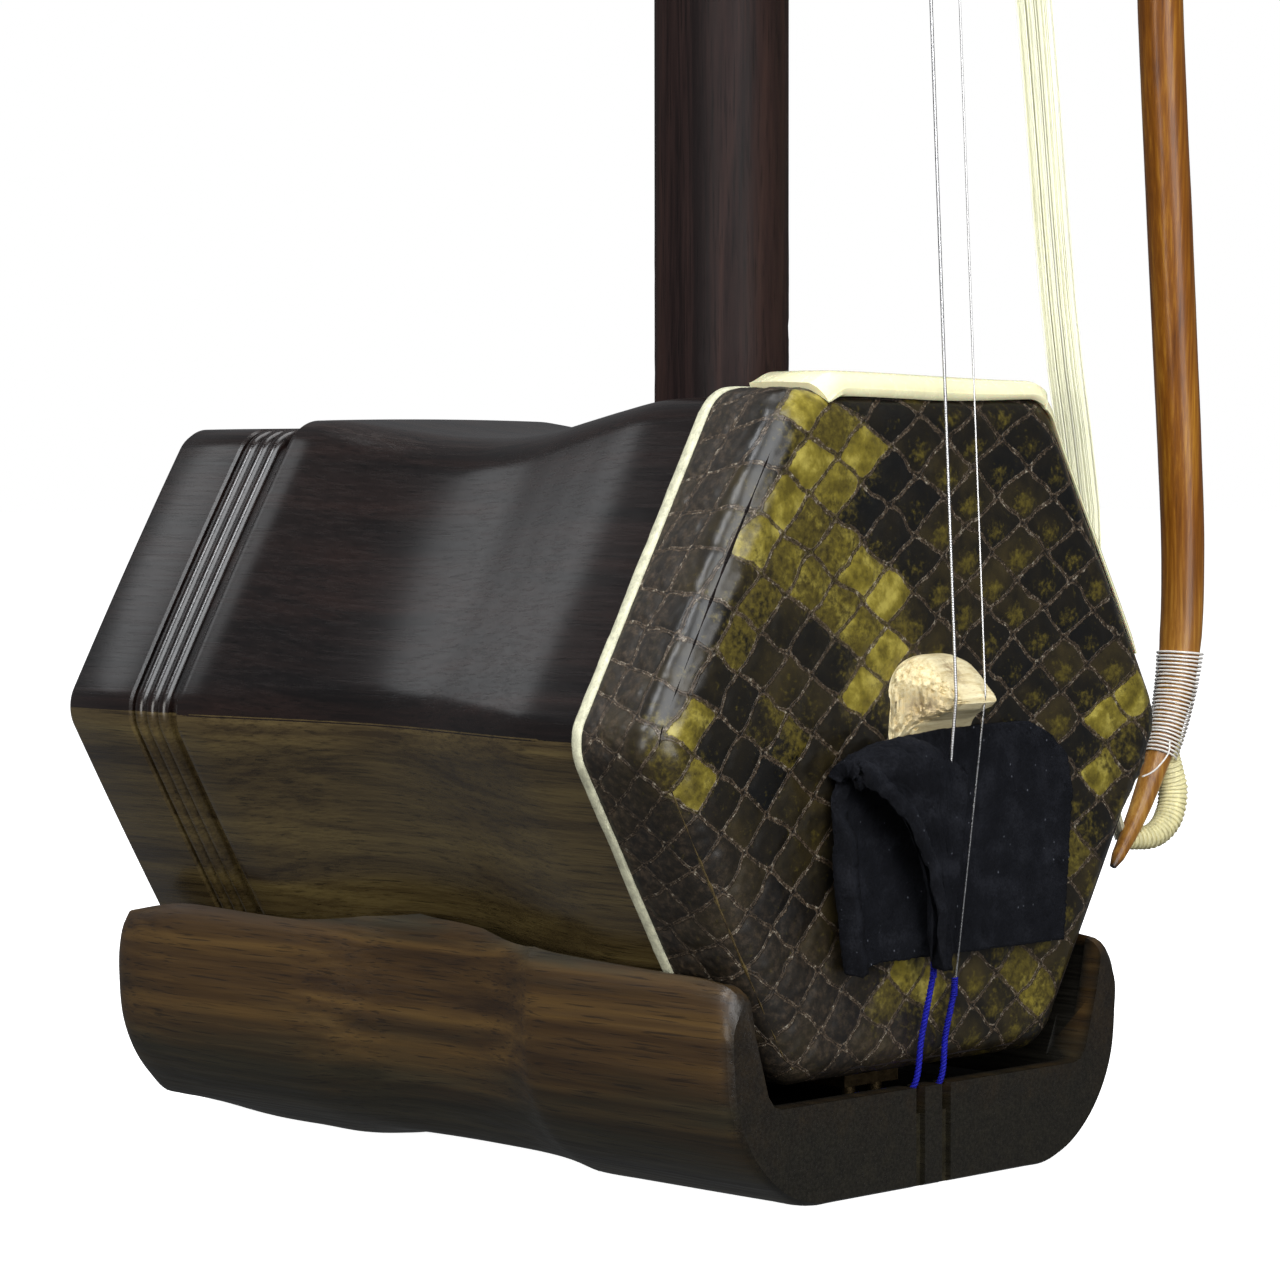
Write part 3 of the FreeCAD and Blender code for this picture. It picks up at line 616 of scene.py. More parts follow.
# Where lines of the scale lattice cross: their two numbers, then the crossing's x and z
CROSSINGS = [(-1, 0, -28.4, 35.6), (-1, 1, -23.9, 39.75), (0, 0, -23.25, 32.0),
             (0, 1, -18.1, 36.1), (1, 1, -13.75, 33.0), (1, 0, -17.9, 28.2),
             (2, 0, -13.1, 25.1), (0, -1, -28.6, 27.3), (1, -1, -23.1, 24.0),
             (2, -1, -17.9, 20.75), (3, 4, 16.2, 39.6), (4, 4, 20.8, 35.0),
             (5, 4, 26.7, 30.7), (4, 3, 14.7, 32.0), (5, 3, 20.0, 27.4), (6, 3, 24.9, 23.5),
             (7, 3, 30.4, 19.25), (5, 2, 13.4, 24.8), (6, 2, 18.9, 20.2), (7, 2, 23.9, 15.9),
             (8, 2, 29.5, 11.5), (8, 1, 23.3, 8.5)]
# Yellow and olive scales: a point in each, and how yellow it is
GOLD = [(-22, 42, 0.95), (-24.4, 35.8, 1.0), (-15.3, 36.6, 0.95), (-19, 32.4, 0.75),
        (-27.3, 31.2, 1.0), (-33.2, 26.6, 0.85), (-28.6, 24.1, 0.5), (-23.6, 28.2, 0.5),
        (-18.2, 24.9, 0.6), (-13.2, 22, 0.85), (-8.2, 18.3, 1.05), (-23.2, 20.3, 0.55),
        (-18.2, 17, 0.55), (-12.8, 14.1, 0.7), (-5.7, 11.8, 1.0), (-11.9, 7.4, 1.0),
        (-33.2, 19.1, 0.5), (-39, 14.9, 0.45), (-26.5, 1.6, 0.3), (-32, 3.5, 0.25),
        (-19, 40, 0.6), (-48.5, 1, 1.0), (-46, -4, 0.9), (42, 0, 0.95), (46.5, 3.5, 0.95),
        (39, -6, 0.8), (33.5, -17.6, 0.5), (-5, -33.5, 0.9), (0.5, -37, 0.8), (17, -34, 0.55),
        (22, -37, 0.6), (-10, -38, 0.4)]


def lattice_numbers(x, z):
    """Numbers of the two lattice lines at each point: quadratics fitted to the crossings."""
    def terms(x, z):
        x, z = x / 30, z / 30
        return np.stack([np.ones_like(x), x, z, x * x, x * z, z * z])

    *numbers, cross_x, cross_z = np.array(CROSSINGS).T
    known = terms(cross_x, cross_z)
    hold = np.diag([0, 0, 0, 0.1, 0.1, 0.3])       # keeps the quadratic terms small
    return [np.linalg.solve(known @ known.T + hold, known @ number) @ terms(x, z)
            for number in numbers]


def skin_shape():
    """The cap's (points, faces), its points laid out flat, and which are on the outside."""
    rings = [(0.0, a, a) for a in np.linspace(0.4, 41.2, 130)]      # y, apothem, unrolled
    for angle in np.linspace(0, math.pi / 2, 19)[1:]:
        rings.append((SKIN_BEND * (1 - math.cos(angle)),
                      SKIN_FLAT + SKIN_BEND * math.sin(angle), SKIN_FLAT + SKIN_BEND * angle))
    for y in np.linspace(4.8, SKIN_END, 30):
        rings.append((y, SKIN_SIDE, SKIN_FLAT + SKIN_BEND * (math.pi / 2 - 1) + y))
    outer_rings = len(rings)
    for y, apothem in ((13.62, 45.0), (5.0, 45.0), (1.4, 43.6), (0.9, 40.0), (0.9, 0.4)):
        rings.append((y, apothem, 60.0))
    rows, flat, per_side = [], [], 150
    for y, apothem, unrolled in rings:
        rows.append(level(y, *ring(apothem, SKIN_CORNER * apothem / SKIN_SIDE, per_side)))
        flat.append(np.stack(ring(unrolled, SKIN_CORNER * unrolled / SKIN_SIDE, per_side), 1))
    outside = np.repeat(np.arange(len(rings)) < outer_rings, len(rows[0]))
    return loft(rows), np.concatenate(flat), outside


def gold_scales(points, flat, u, v, tone):
    """How yellow the skin is at each point: whole scales, their halos and olive spots."""
    spot = (u - np.floor(u) - 0.64)**2 + (v - np.floor(v) - 0.36)**2
    olive = np.exp(-spot / 0.085) * (0.35 + 0.65 * tone)
    olive = olive * (0.3 + 0.7 * ease(flat[:, 0], -14, 6))
    gold, halo = np.zeros(len(points)), np.zeros(len(points))
    for x, z, strength in GOLD:
        apart = (flat[:, 0] - x)**2 + (flat[:, 1] - z)**2
        halo = np.maximum(halo, 0.45 * strength * np.exp(-apart / 20.0))
        near = np.argmin(apart)
        same = (np.floor(u) == np.floor(u[near])) & (np.floor(v) == np.floor(v[near]))
        gold[same] = strength
    fade = 0.22 * waves(points, 6.0, 30, 2)
    return np.where(gold > 0, 0.9 * gold + fade, np.maximum(0.52 * olive, halo + 0.5 * fade))


def make_skin():
    (points, faces), flat, outside = skin_shape()
    u, v = lattice_numbers(*flat.T)
    u, v = u + 0.07 * waves(points, 9.0, 3, 2), v + 0.07 * waves(points, 8.0, 4, 2)
    cell = (np.floor(u).astype(int) * 31 + np.floor(v).astype(int) * 17) % 97
    tone = np.random.default_rng(5).uniform(0.1, 0.9, 97)[cell]
    gold = gold_scales(points, flat, u, v, tone)

    # relief: scales, the band round the side, and one lump
    du, dv = abs(u - np.round(u)) * CELL_U, abs(v - np.round(v)) * CELL_V
    gap = np.minimum(du, dv) - 0.25 * np.maximum(0, 1.6 - abs(du - dv))
    band = ease(points[:, 1], 3.0, 7.5)
    band = np.maximum(band, 0.75 * ease(-0.75 * flat[:, 0] - flat[:, 1], 33, 52))
    turning = ease(points[:, 1], 0.02, 0.5) * ease(points[:, 1], 6.5, 4.0)
    height = (0.22 - 0.13 * turning) * ease(gap, 0.1, 1.6) - 0.08 * ease(gap, 0.35, -0.1)
    height += 0.05 * waves(points, 3.0, 5) + band * 0.10 * waves(points, 1.6, 6)
    lump = np.exp(-((flat[:, 0] - 50.0)**2 + (flat[:, 1] + 9.0)**2) / 34.0)
    height += 1.1 * lump * (0.85 + 0.3 * waves(points, 2.2, 31))
    lift = ease(points[:, 1], 0.0, SKIN_BEND)[:, None]
    outward = unit(points * (1, 0, 1)) * lift - (1 - lift) * (0, 1, 0)
    rim = ease(points[:, 1], SKIN_END, 12.6)
    points = points + unit(outward) * (0.9 * height * rim * outside)[:, None]

    lattice = np.stack([u, v, np.zeros_like(u)], 1)
    skin = build("python_skin", (points, faces), SKIN, "python_skin", sharp=80,
                 attributes=[("lattice", lattice), ("tone", tone), ("gold", gold),
                             ("band", band)])


def hex_loop(section, rounding, per_side):
    """A closed band with the given (y, apothem) section round all six sides."""
    rows = []
    for y, apothem in section:
        rows.append(level(y, *ring(apothem, rounding, per_side)))
    return np.concatenate(rows), grid(len(rows), 6 * per_side, True, True)


def make_strip():
    section = [(13.65, 44.9), (13.65, 45.8), (13.8, 46.05), (14.2, 46.15), (15.0, 46.1),
               (15.4, 45.95), (15.55, 45.6), (15.55, 44.9)]
    points, faces = hex_loop(section, 6.6, 60)
    wear = waves(points, 7.0, 8)[:, None]
    points = points + unit(points * (1, 0, 1)) * np.minimum(wear, 0) * 0.18
    points[:, 1] += 0.08 * waves(points, 5.0, 9)
    build("skin_border_strip", (points, faces), STRIP, "trim_strip", sharp=60)


def make_guard():
    """Plastic lip over the skin's top edge and upper right edge."""
    outer_points = 16              # of the section; the rest lie against the skin
    section = [(0.75, 43.9), (0.35, 44.3), (0.3, 45.0)]
    for step in range(9):
        angle = math.pi / 2 * step / 8
        section.append((2.8 - 2.4 * math.cos(angle), 44.9 + 2.4 * math.sin(angle)))
    section += [(8.0, 47.35), (12.9, 47.3), (13.35, 47.0), (13.4, 46.2), (13.3, 45.95),
                (8.0, 45.95), (4.6, 45.95), (3.0, 45.6), (1.7, 44.9)]
    t = np.linspace(-1, 1, 81)
    rows = []
    for side, spots in ((0, t[t >= -0.74]), (1, t[t <= 0.58][1:])):
        for spot in spots:
            if side == 0:
                thick, lift = ease(spot, -0.78, -0.55), 0.9 * ease(-spot, -0.9, 0.7)
                narrow, back = 0.9 * ease(spot, 0.0, 1.0), 0.0
            else:
                thick, lift = 0.2 + 0.35 * ease(-spot, -0.62, -0.45), 0.0
                narrow, back = 0.9, 0.8 * ease(spot, -1.0, -0.6)
            row = []
            for index, (y, apothem) in enumerate(section):
                if index < outer_points:
                    apothem += lift + narrow * ease(-apothem, -46.0, -44.0)
                    y += back
                turned = 1 - min(y / SKIN_BEND, 1)
                skin = SKIN_FLAT + 0.1 + SKIN_BEND * math.sqrt(1 - turned**2)
                if apothem > skin:
                    apothem = skin + (apothem - skin) * (0.25 + 0.75 * thick)
                x, z = side_points(side, apothem, 6.8, np.array([spot]))
                row.append((x[0], y, z[0]))
            rows.append(row)
    points, faces = loft(rows)
    points[:, 1] -= 0.05 * waves(points, 12.0, 10, 1)
    build("bow_guard", (points, faces), IVORY, "ivory_plastic", sharp=50)


# ---------------------------------------------------------------- bridge and felt

def make_bridge():
    """A lobed foot that rises to a narrow ridge. Its left side has split off at a slant."""
    depth = np.concatenate([np.linspace(0, 6.6, 34), [6.9, 7.15, 7.35, 7.5, 7.58]])
    high = np.interp(depth, [0, 1.2, 2.6, 4.2, 5.6, 6.8, 7.58], [10.3, 10.4, 9.9, 8.6, 7.1, 5.9, 4.6])
    low = np.interp(depth, [0, 0.8, 1.8, 3.2, 5.0, 6.6, 7.58], [-2.8, -1.5, 0.2, 1.5, 2.4, 3.0, 3.9])
    left = np.interp(depth, [0, 0.9, 7.1, 7.58], [8.1, 8.2, 3.9, 3.4])
    right = np.interp(depth, [0, 0.9, 4.0, 7.1, 7.58], [8.1, 8.1, 6.9, 5.7, 5.3])
    turn = np.arange(72) * 2 * math.pi / 72
    rows = []
    for back, top, bottom, west, east in zip(depth, high, low, left, right):
        c, z = np.cos(turn), np.sin(turn)
        across = np.sign(c) * abs(c)**np.where(z > 0, 0.85, 0.4)
        rise = np.sign(z) * abs(z)**np.where(z > 0, 0.62, 0.4)
        x = np.where(across < 0, across * west, across * east)
        split = top * 0.45 + bottom * 0.55
        z = np.where(rise > 0, split + rise * (top - split), split + rise * (split - bottom))
        rows.append(level(-back, x, z))
    for scale in (0.66, 0.33):                 # smaller rings close both ends
        foot, ridge = rows[0], rows[-1]
        rows.append(ridge.mean(0) + (ridge - ridge.mean(0)) * scale)
        rows.insert(0, foot.mean(0) + (foot - foot.mean(0)) * 0.5)
    points, faces = loft(rows)
    west = np.interp(-points[:, 1], depth, left)
    broken = ease(-points[:, 0] / west, 0.35, 0.62) * ease(-points[:, 1], 0.05, 0.6)
    chip = np.round(1.4 * waves(points, 3.4, 12, 2)) * 0.32 + 0.28 * waves(points, 0.9, 13)
    ridges = 0.35 * abs(waves(points * (1, 1, 0.5), 1.7, 17, 2))
    points = points + (broken * (chip + ridges - 0.4))[:, None] * unit((-0.8, -0.6, 0.1))
    dent = np.exp(-((points[:, 0] + 5.6)**2 + (points[:, 2] - 3.4)**2) / 5.0) * broken
    points = points + (dent * 0.9)[:, None] * unit((0.8, 0.6, 0.0))
    points[:, 1] = np.minimum(points[:, 1], -0.02)
    # Darker brown mask: a real scuff near the ridge's top, plus painted shade in the dent.
    scuff_and_dent_shade = 0.9 * np.exp(-((points[:, 0] + 0.2)**2 / 2.2 + (points[:, 2] - 8.2)**2 / 3.0))
    scuff_and_dent_shade += 0.9 * dent
    build("bridge", (points, faces), MAPLE, "maple", sharp=34,
          attributes=[("broken", broken), ("scuff_and_dent_shade", np.clip(scuff_and_dent_shade, 0, 1))])


def felt_back():
    """Layer on the skin, whose left edge curls forward. Rows run down, columns leftwards."""
    rows = []
    for step in np.linspace(0, 1, 70):
        z = -1.0 - 29.4 * step
        curl = ease(z, -5.0, -12.0)
        right = np.interp(z, [-30.2, -8.3, -2.8, 0.4], [26.4, 28.2, 27.2, 18.9])
        left = np.interp(z, [-31.5, -14.6, -5, 0.4], [-18.6, -21.0, -20.2, -16.5])
        row = smooth([(right, -1.25), (10, -1.25), (-6, -1.25), (left + 4.5, -1.3),
                      (left + 1.4, -1.6 - 0.3 * curl), (left + 0.2, -1.9 - 1.3 * curl),
                      (left - 0.1 + 0.7 * curl, -2.1 - 3.0 * curl)], 90)
        top = np.interp(row[:, 0], [-21, -15.1, -4.9, 0.6, 18.9, 27.4],
                        [-4.9, -2.2, -0.3, 0.3, 0.5, -2.8])
        foot = np.interp(row[:, 0], [-21, -16, -12, 30], [-31.2, -31.0, -30.2, -30.2])
        z = top + (foot - top) * step
        x = np.minimum(row[:, 0], np.interp(z, [-8.3, -5, -2.8, 0.4], [28.2, 28.1, 26.9, 18.9]))
        rows.append(np.stack([x, row[:, 1], z], 1))
    return rows


def felt_flap():
    """Corner folded over the top and down in front of the inner string."""
    columns = []
    for x in np.linspace(-20.4, -1.9, 56):
        top = np.interp(x, [-20.4, -15, -10, -7.5, -5.0, -2], [-4.3, -2.3, -1.4, -2.0, -4.3, -5.0])
        end = np.interp(x, [-20.4, -18.1, -12.7, -8.1, -5.2, -4.2, -1.9],
                        [-5.4, -6.4, -10.8, -17.4, -24, -31.2, -31.6])
        joined_on = ease(x, -4.8, -8.5)
        over = np.interp([top - 1.4, (top + end) / 2, end], [-32, 5], [-5.0, -9.2])
        over = over + np.interp(x, [-20, -12, -2], [2.3, 0.7, 0.0])
        lift = 1.3 * ease(x, -2.5, -6.0)
        start = -1.6 + (over[0] + 1.6) * (1 - joined_on)
        column = smooth([(start, top - 1.3), (start + (over[0] - start) * 0.12, top - 0.3),
                         (start + (over[0] - start) * 0.5, top + 0.25 * joined_on),
                         (over[0] + 0.12 * (start - over[0]), top - 0.5),
                         (over[0], top - 1.4), (over[1], (top + end) / 2),
                         (over[2] - 0.45 * lift, end + 1.8), (over[2] - lift, end + 0.5),
                         (over[2] - 0.7 * lift, end - 0.25)], 64)
        columns.append(np.stack([np.full(64, x), column[:, 0], column[:, 1]], 1))
    return columns


def make_felt():
    points, faces = joined([(np.concatenate(rows), grid(len(rows), len(rows[0])))
                            for rows in (felt_back(), felt_flap())])
    points[:, 1] += 0.14 * waves(points, 5.0, 14) * ease(-points[:, 1], 1.5, 3.0)
    points[:, 2] += 0.22 * waves(points, 3.0, 15) * ease(-points[:, 1], 1.2, 3.0)
    felt = build("damper_felt", (points, faces), FELT, "felt", sharp=70)
    thick = felt.modifiers.new("thickness", "SOLIDIFY")
    thick.thickness, thick.offset = 2.0 * MM, 0.0
    mesh = baked(felt)
    co, normal = read(mesh, "co"), read(mesh, "normal")
    local = (co - ORIGIN) / MM
    rough = 0.10 * waves(local, 1.3, 16) + 0.05 * rng.normal(size=len(local))
    rough = np.where(local[:, 1] > -0.6, 0.0, rough)
    co += normal * (rough * MM)[:, None]
    mesh.vertices.foreach_set("co", co.astype(np.float32).ravel())
    mesh.update()
    make_fuzz(local, normal)


def make_fuzz(points, normals):
    """Loose fibres along the felt's cut edges and over its front."""
    strands = []
    for index in rng.choice(len(points), 1500):
        start = points[index]
        if start[1] > -1.6:
            continue
        reach = rng.uniform(0.35, 1.0)
        way = unit(normals[index] * 0.8 + rng.normal(size=3) * 0.7)
        bend = rng.normal(size=3) * 0.25
        path = np.array([start - 0.1 * way, start + way * reach * 0.5 + bend * 0.5,
                         start + way * reach * 0.7 + bend * 1.2])
        strands.append(tube(smooth(path, 5), np.linspace(0.03, 0.012, 5), 3))
    piece("felt_fuzz", joined(strands), FELT, "felt", "instrument", sharp=180)


# ---------------------------------------------------------------- base

def half_section(width, bottom, top, foot):
    """Outer half of the base's section, from the cheek's top edge to the middle below."""
    curve = smooth([(38.0, top), (39.2, top - 1.8), (39.9, -36.5), (40.0, -41.5),
                    (39.2, -47.5), (37.2, -52.0), (34.0, -56.0), (29.6, -59.2),
                    (26.0, bottom + 0.45), (24.0, bottom + 0.05), (foot, bottom)], 44)
    centre = np.stack([np.linspace(foot, 0, 6), np.full(6, bottom)], 1)[1:]
    half = np.concatenate([curve, centre])
    half[:, 0] *= width
    return half


def mirrored(half, shared=0):
    """An outline from one half of it, whose last points may be shared on the middle line."""
    half = np.asarray(half, float)
    return np.concatenate([half, half[len(half) - 1 - shared::-1] * (-1, 1)])


def make_base():
    stations = [(-1.2, 0.975, -61.0, -33.4), (-0.7, 0.990, -61.3, -32.6),
                (0.6, 0.998, -61.5, -31.6), (4.0, 1.0, -61.5, -30.9), (12.0, 1.0, -61.5, -30.5),
                (20.0, 0.997, -61.5, -30.2), (30.0, 0.992, -61.5, -29.8),
                (36.0, 0.986, -61.5, -29.4), (37.4, 0.982, -61.45, -29.2),
                (39.2, 0.965, -61.2, -28.8), (42.0, 0.944, -60.8, -28.2),
                (47.0, 0.922, -60.2, -27.3), (54.0, 0.905, -59.2, -26.6),
                (62.0, 0.897, -58.8, -26.7), (70.0, 0.908, -59.4, -27.3),
                (79.0, 0.942, -60.8, -28.6),
                (86.0, 0.963, -61.5, -29.2), (96.0, 0.968, -61.5, -29.2),
                (106.0, 0.97, -61.4, -28.9), (113.0, 0.968, -60.9, -28.9),
                (119.0, 0.96, -59.9, -29.6), (124.0, 0.95, -58.6, -30.5),
                (127.5, 0.93, -56.6, -31.2), (129.3, 0.90, -54.6, -32.0)]
    rows = []
    for y, width, bottom, top in smooth(stations, 110):
        outline = mirrored(half_section(width, bottom, top, 20.0), shared=1)
        rows.append(level(y, outline[:, 0], outline[:, 1]))
    base = build("base", loft(rows), BASE, "rosewood", sharp=32)
    carve(base, base_cutters())
    points = (read(base.data, "co") - ORIGIN) / MM
    y, wide, _, _ = np.array(stations).T
    outer = np.interp(points[:, 2], [-61, -56, -52, -47.5, -41.5, -30],
                      [26, 34, 37.2, 39.2, 40, 38]) * np.interp(points[:, 1], y, wide)
    # Points inside the hollow, which the base's material paints near-black as painted shade.
    shaded_inside = (outer - abs(points[:, 0]) > 1.0) & (points[:, 1] > 1.0) & (points[:, 2] > -53)
    layer = base.data.attributes.new("shaded_inside", "FLOAT", "POINT")
    layer.data.foreach_set("value", shaded_inside.astype(np.float32))


def base_cutters():
    """The base's hollow, its ends' notches, slots for the strings and the screw's recess."""
    hollow_rows = []
    for y, width in ((2.0, 1.0), (20, 0.995), (38, 0.985), (50, 0.93), (64, 0.9), (78, 0.935),
                     (86, 0.965), (104, 0.97), (125, 0.95)):
        half = smooth([(37.6, -15.0), (37.6, -30.5), (34.8, -39.5), (31.5, -47.2),
                       (29.6, -51.2), (26.5, -52.0)], 22)
        half[:, 0] *= width
        outline = mirrored(half)
        hollow_rows.append(level(y, outline[:, 0], outline[:, 1]))
    front = mirrored([(-36.9, -15), (-36.9, -29), (-35.0, -38.0), (-32.6, -46.0),
                      (-31.4, -47.5), (-30.0, -47.9)])
    rear = mirrored([(-33.6, -15), (-33.6, -29), (-29.5, -41.0), (-27, -44.6), (-25, -45)])
    cutters = [loft(hollow_rows), prism(front, -5, 5), prism(rear, 122, 135)]
    for x in (-2.65, 2.65):                    # string slots, and grooves in the front below
        for low, high, back in ((-51.6, -40, 5), (-70, -51.5, -0.3)):
            slot = [(x - 0.9, low), (x + 0.9, low), (x + 0.9, high), (x - 0.9, high)]
            cutters.append(prism(slot, -5, back))
    turn = np.arange(40) * math.pi / 20
    recess = np.stack([5.2 * np.cos(turn), 38.3 + 5.2 * np.sin(turn)], 1)
    cutters.append(prism(recess, -63.0, -57.5, axis=2))
    return cutters


# ---------------------------------------------------------------- bow

FROG_CENTRE = np.array([20.6, 4.7, 690.0])
ALONG = unit((-0.0785, -0.012, 1.0))
ACROSS = unit((-1.0, 0.0, -0.0785))
THICK = np.cross(ALONG, ACROSS)


def bow_point(along, across, thick=0.0):
    return FROG_CENTRE + ALONG * along + ACROSS * across + THICK * thick


BAMBOO_RINGS = (560.0, 372.0, 196.0)     # heights of the stick's nodes


def stick_line():
    """Axis of the stick from its button end to the tip."""
    lower = [(66.5, 12.7, 103.8), (68.5, 12.8, 79), (70.6, 12.9, 54.1), (71.9, 12.9, 37.8),
             (72.9, 13, 21.3), (72.7, 13, 12.5), (71.4, 13, 3.6), (69, 13, -3.7),
             (65.5, 13, -10.4), (61.3, 13, -17.2), (56.5, 13, -23.2)]
    upper = [bow_point(70, 0), bow_point(0, 0), bow_point(-60, 0), bow_point(-160, -1.4),
             bow_point(-260, -3.0), bow_point(-350, -4.2), bow_point(-450, -4.4),
             bow_point(-530, -3.4)]
    return smooth(upper + lower, 420)


def make_stick():
    line = stick_line()
    z = line[:, 2]
    radius = np.interp(z, [-23.2, -22.4, -18, -12, -7, 0, 10, 60],
                       [0.5, 0.95, 1.35, 1.75, 2.05, 2.6, 3.15, 3.35])
    for height in BAMBOO_RINGS:
        radius = radius + 0.22 * np.exp(-((z - height) / 1.2)**2)
    points, faces = tube(line, radius, 28)
    grain = 0.04 * waves(points * (1, 1, 0.08), 2.4, 20)
    centres = np.repeat(line, 28, axis=0)
    points = points + unit(points - centres) * grain[:, None]
    pale = 0.85 * ease(-points[:, 2], -30, 8)
    burnt = ease(-points[:, 2], 22.0, 23.0)
    for height in BAMBOO_RINGS:
        burnt = burnt + 0.5 * np.exp(-((points[:, 2] - height + 0.9) / 0.5)**2)
    build("bow_stick", (points, faces), BAMBOO, "bamboo", "bow",
          attributes=[("pale", pale), ("burnt", np.clip(burnt, 0, 1))])


def make_hair():
    """Flat ribbon of single hairs, which the frog draws tight."""
    frog_end, bend = bow_point(-11, 31.2), np.array([-1.5, 8.0, 392])
    centres = np.array([frog_end, frog_end + (bend - frog_end) * 0.5, bend,
                        (1.6, 10.4, 303), (17.6, 11.3, 203), (36.7, 12.1, 101.5),
                        (43.7, 12.5, 53.5), (49.0, 12.8, 28.0), (52.6, 14.2, -2.0),
                        (60.2, 14.2, -19.6)])
    middle = smooth(centres, 70)
    z = middle[:, 2]
    spread = (2.35 + 0.65 * ease(z, 380, 200)) * (0.3 + 0.7 * ease(z, -18, 20))
    strands = []
    for _ in range(90):
        across = rng.uniform(-1, 1)
        depth = rng.uniform(-1, 1)
        drift = np.cumsum(rng.normal(size=len(middle))) * 0.05
        drift -= np.linspace(drift[0], drift[-1], len(middle))
        sway = across * spread + drift * 0.6
        offset = np.stack([np.full_like(sway, 0.5 * depth), sway, np.zeros_like(sway)], 1)
        strands.append(tube(middle + offset, 0.13, 4))
    hair = build("bow_hair", joined(strands), HAIR, "horsehair", body=None, sharp=180)
    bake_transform(hair)


def make_tip():
    line = stick_line()
    height = np.linspace(7.8, -7.7, 24)
    wrapped = np.stack([np.interp(height, line[::-1, 2], line[::-1, axis]) for axis in range(3)], 1)
    wrapped = wrapped + np.linspace(0.15, 0.3, len(wrapped))[:, None] * (1, 0, 0)
    turns = coil(wrapped, np.linspace(3.42, 2.5, 27 * 16 + 2), 27)
    turns = turns + 0.04 * waves(turns, 3.0, 21)[:, None]
    loose = smooth([(65.0, 9.2, -4.8), (64.6, 9.0, -6.4), (62.7, 9.0, -8.2), (60.4, 9.0, -9.4),
                    (58.5, 9.2, -9.9)], 16)
    build("tip_binding", joined([tube(turns, 0.17, 7), tube(loose, 0.14, 6)]), NYLON,
          "nylon", "bow", sharp=180)

    loop = smooth([(61.0, 14.0, -19.6), (63.4, 13.4, -19.5), (66.4, 12.8, -19.2),
                   (69.2, 12.6, -17.6), (70.9, 12.7, -15.0), (71.4, 12.9, -12.4),
                   (70.9, 13.0, -9.8), (70.4, 13.0, -7.4), (71.7, 13.0, -3.4),
                   (74.4, 13.0, 3.6), (76.1, 13.0, 9.0), (76.7, 12.9, 12.4)], 140)
    loop[:, 0] -= 0.8 * ease(-loop[:, 2], 4.0, 9.0)
    along = np.arange(140)
    thickness = np.interp(along, [0, 14, 34, 50, 62, 74, 84, 120, 139],
                          [1.0, 1.35, 1.75, 1.8, 1.5, 0.9, 0.55, 0.45, 0.15])
    strands = []
    for ply in range(18):
        wide = thickness * (0.35 + 0.65 * (ply % 2))
        path = coil(loop, wide, 5.0, phase=ply * 2 * math.pi / 18, samples=140)
        strands.append(tube(path, 0.24, 5))
    for phase, lift in ((0.0, 0.1), (2.4, 0.22)):
        whip = along < 76
        wide = np.interp(np.linspace(0, 75, 30 * 14), along[whip], thickness[whip] + lift)
        strands.append(tube(coil(loop[whip], wide, 30, phase=phase, samples=30 * 14), 0.26, 6))
    build("hair_knot", joined(strands), KNOT, "horsehair", "bow", sharp=180)


# ---------------------------------------------------------------- strings' cord and windings

def make_tails():
    for side, name in ((-1, "inner_string_tail"), (1, "outer_string_tail")):
        top_z = -32.0 if side < 0 else -35.0
        top_y = -3.4 - 0.24 * (top_z + 32.0)
        start = np.array([side * 2.55, top_y, top_z])
        line = smooth([start, (side * 2.6, -1.2 + 0.1 * side, -41.0), (side * 2.65, 0.3, -48.2),
                       (side * 2.66, 1.7, -49.7), (side * 2.7, 6.0, -49.9),
                       (side * 2.7, 10.4, -50.1)], 120)
        strands = [tube(coil(line, 0.22, 16, phase=ply * 2 * math.pi / 3, samples=340), 0.22, 8)
                   for ply in range(3)]
        whip = np.stack([start + (0, -0.02, 1.6), start + (0, 0.1, -1.0)])
        strands.append(tube(coil(whip, 0.36, 9, samples=120), 0.14, 6))
        build(name, joined(strands), SILK, "blue_silk", sharp=180)


def arc(low, high, samples, radius, y):
    """x and y of points on a circle about (0, y)."""
    angle = np.linspace(low, high, samples)
    return np.stack([radius * np.cos(angle), y + radius * np.sin(angle)], 1)


def make_qianjin():
    """Turns of cord round the neck and both strings."""
    back_r, front_r, front_y, neck_y = 10.1, 5.15, 16.3, 38.3
    lean = math.asin((back_r - front_r) / (neck_y - front_y))
    side, drop = math.cos(lean), math.sin(lean)
    left = np.linspace((-back_r * side, neck_y - back_r * drop),
                       (-front_r * side, front_y - back_r * drop), 14)[1:-1]
    right = np.linspace((front_r * side, front_y - front_r * drop),
                        (back_r * side, neck_y - front_r * drop), 14)[1:-1]
    around = [arc(lean, math.pi - lean, 30, back_r, neck_y), left,
              arc(math.pi + lean, 2 * math.pi - lean, 20, front_r, front_y), right]
    path = np.tile(np.concatenate(around), (7, 1))
    z = 405.0 + np.linspace(-2.75, 2.75, len(path)) + 0.1 * np.sin(np.arange(len(path)) * 0.4)
    build("qianjin", tube(np.column_stack([path, z]), 0.38, 8), CORD, "qianjin_silk", sharp=180)


def make_windings():
    for name, body, thread, look in (("outer_winding", "outer_tuner", 0.2, STEEL),
                                     ("inner_winding", "inner_tuner", 0.26, WOUND)):
        low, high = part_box(name)
        centre = ((np.array(low) + np.array(high)) / 2 - ORIGIN) / MM
        radius = (high.x - low.x) / 2 / MM
        line = np.stack([centre + (0, -1.75, 0), centre + (0, 1.75, 0)])
        path = coil(line, radius - thread, 7, samples=260)
        build(name, tube(path, thread, 8), look, "string_steel", body, sharp=180)


# ---------------------------------------------------------------- studio

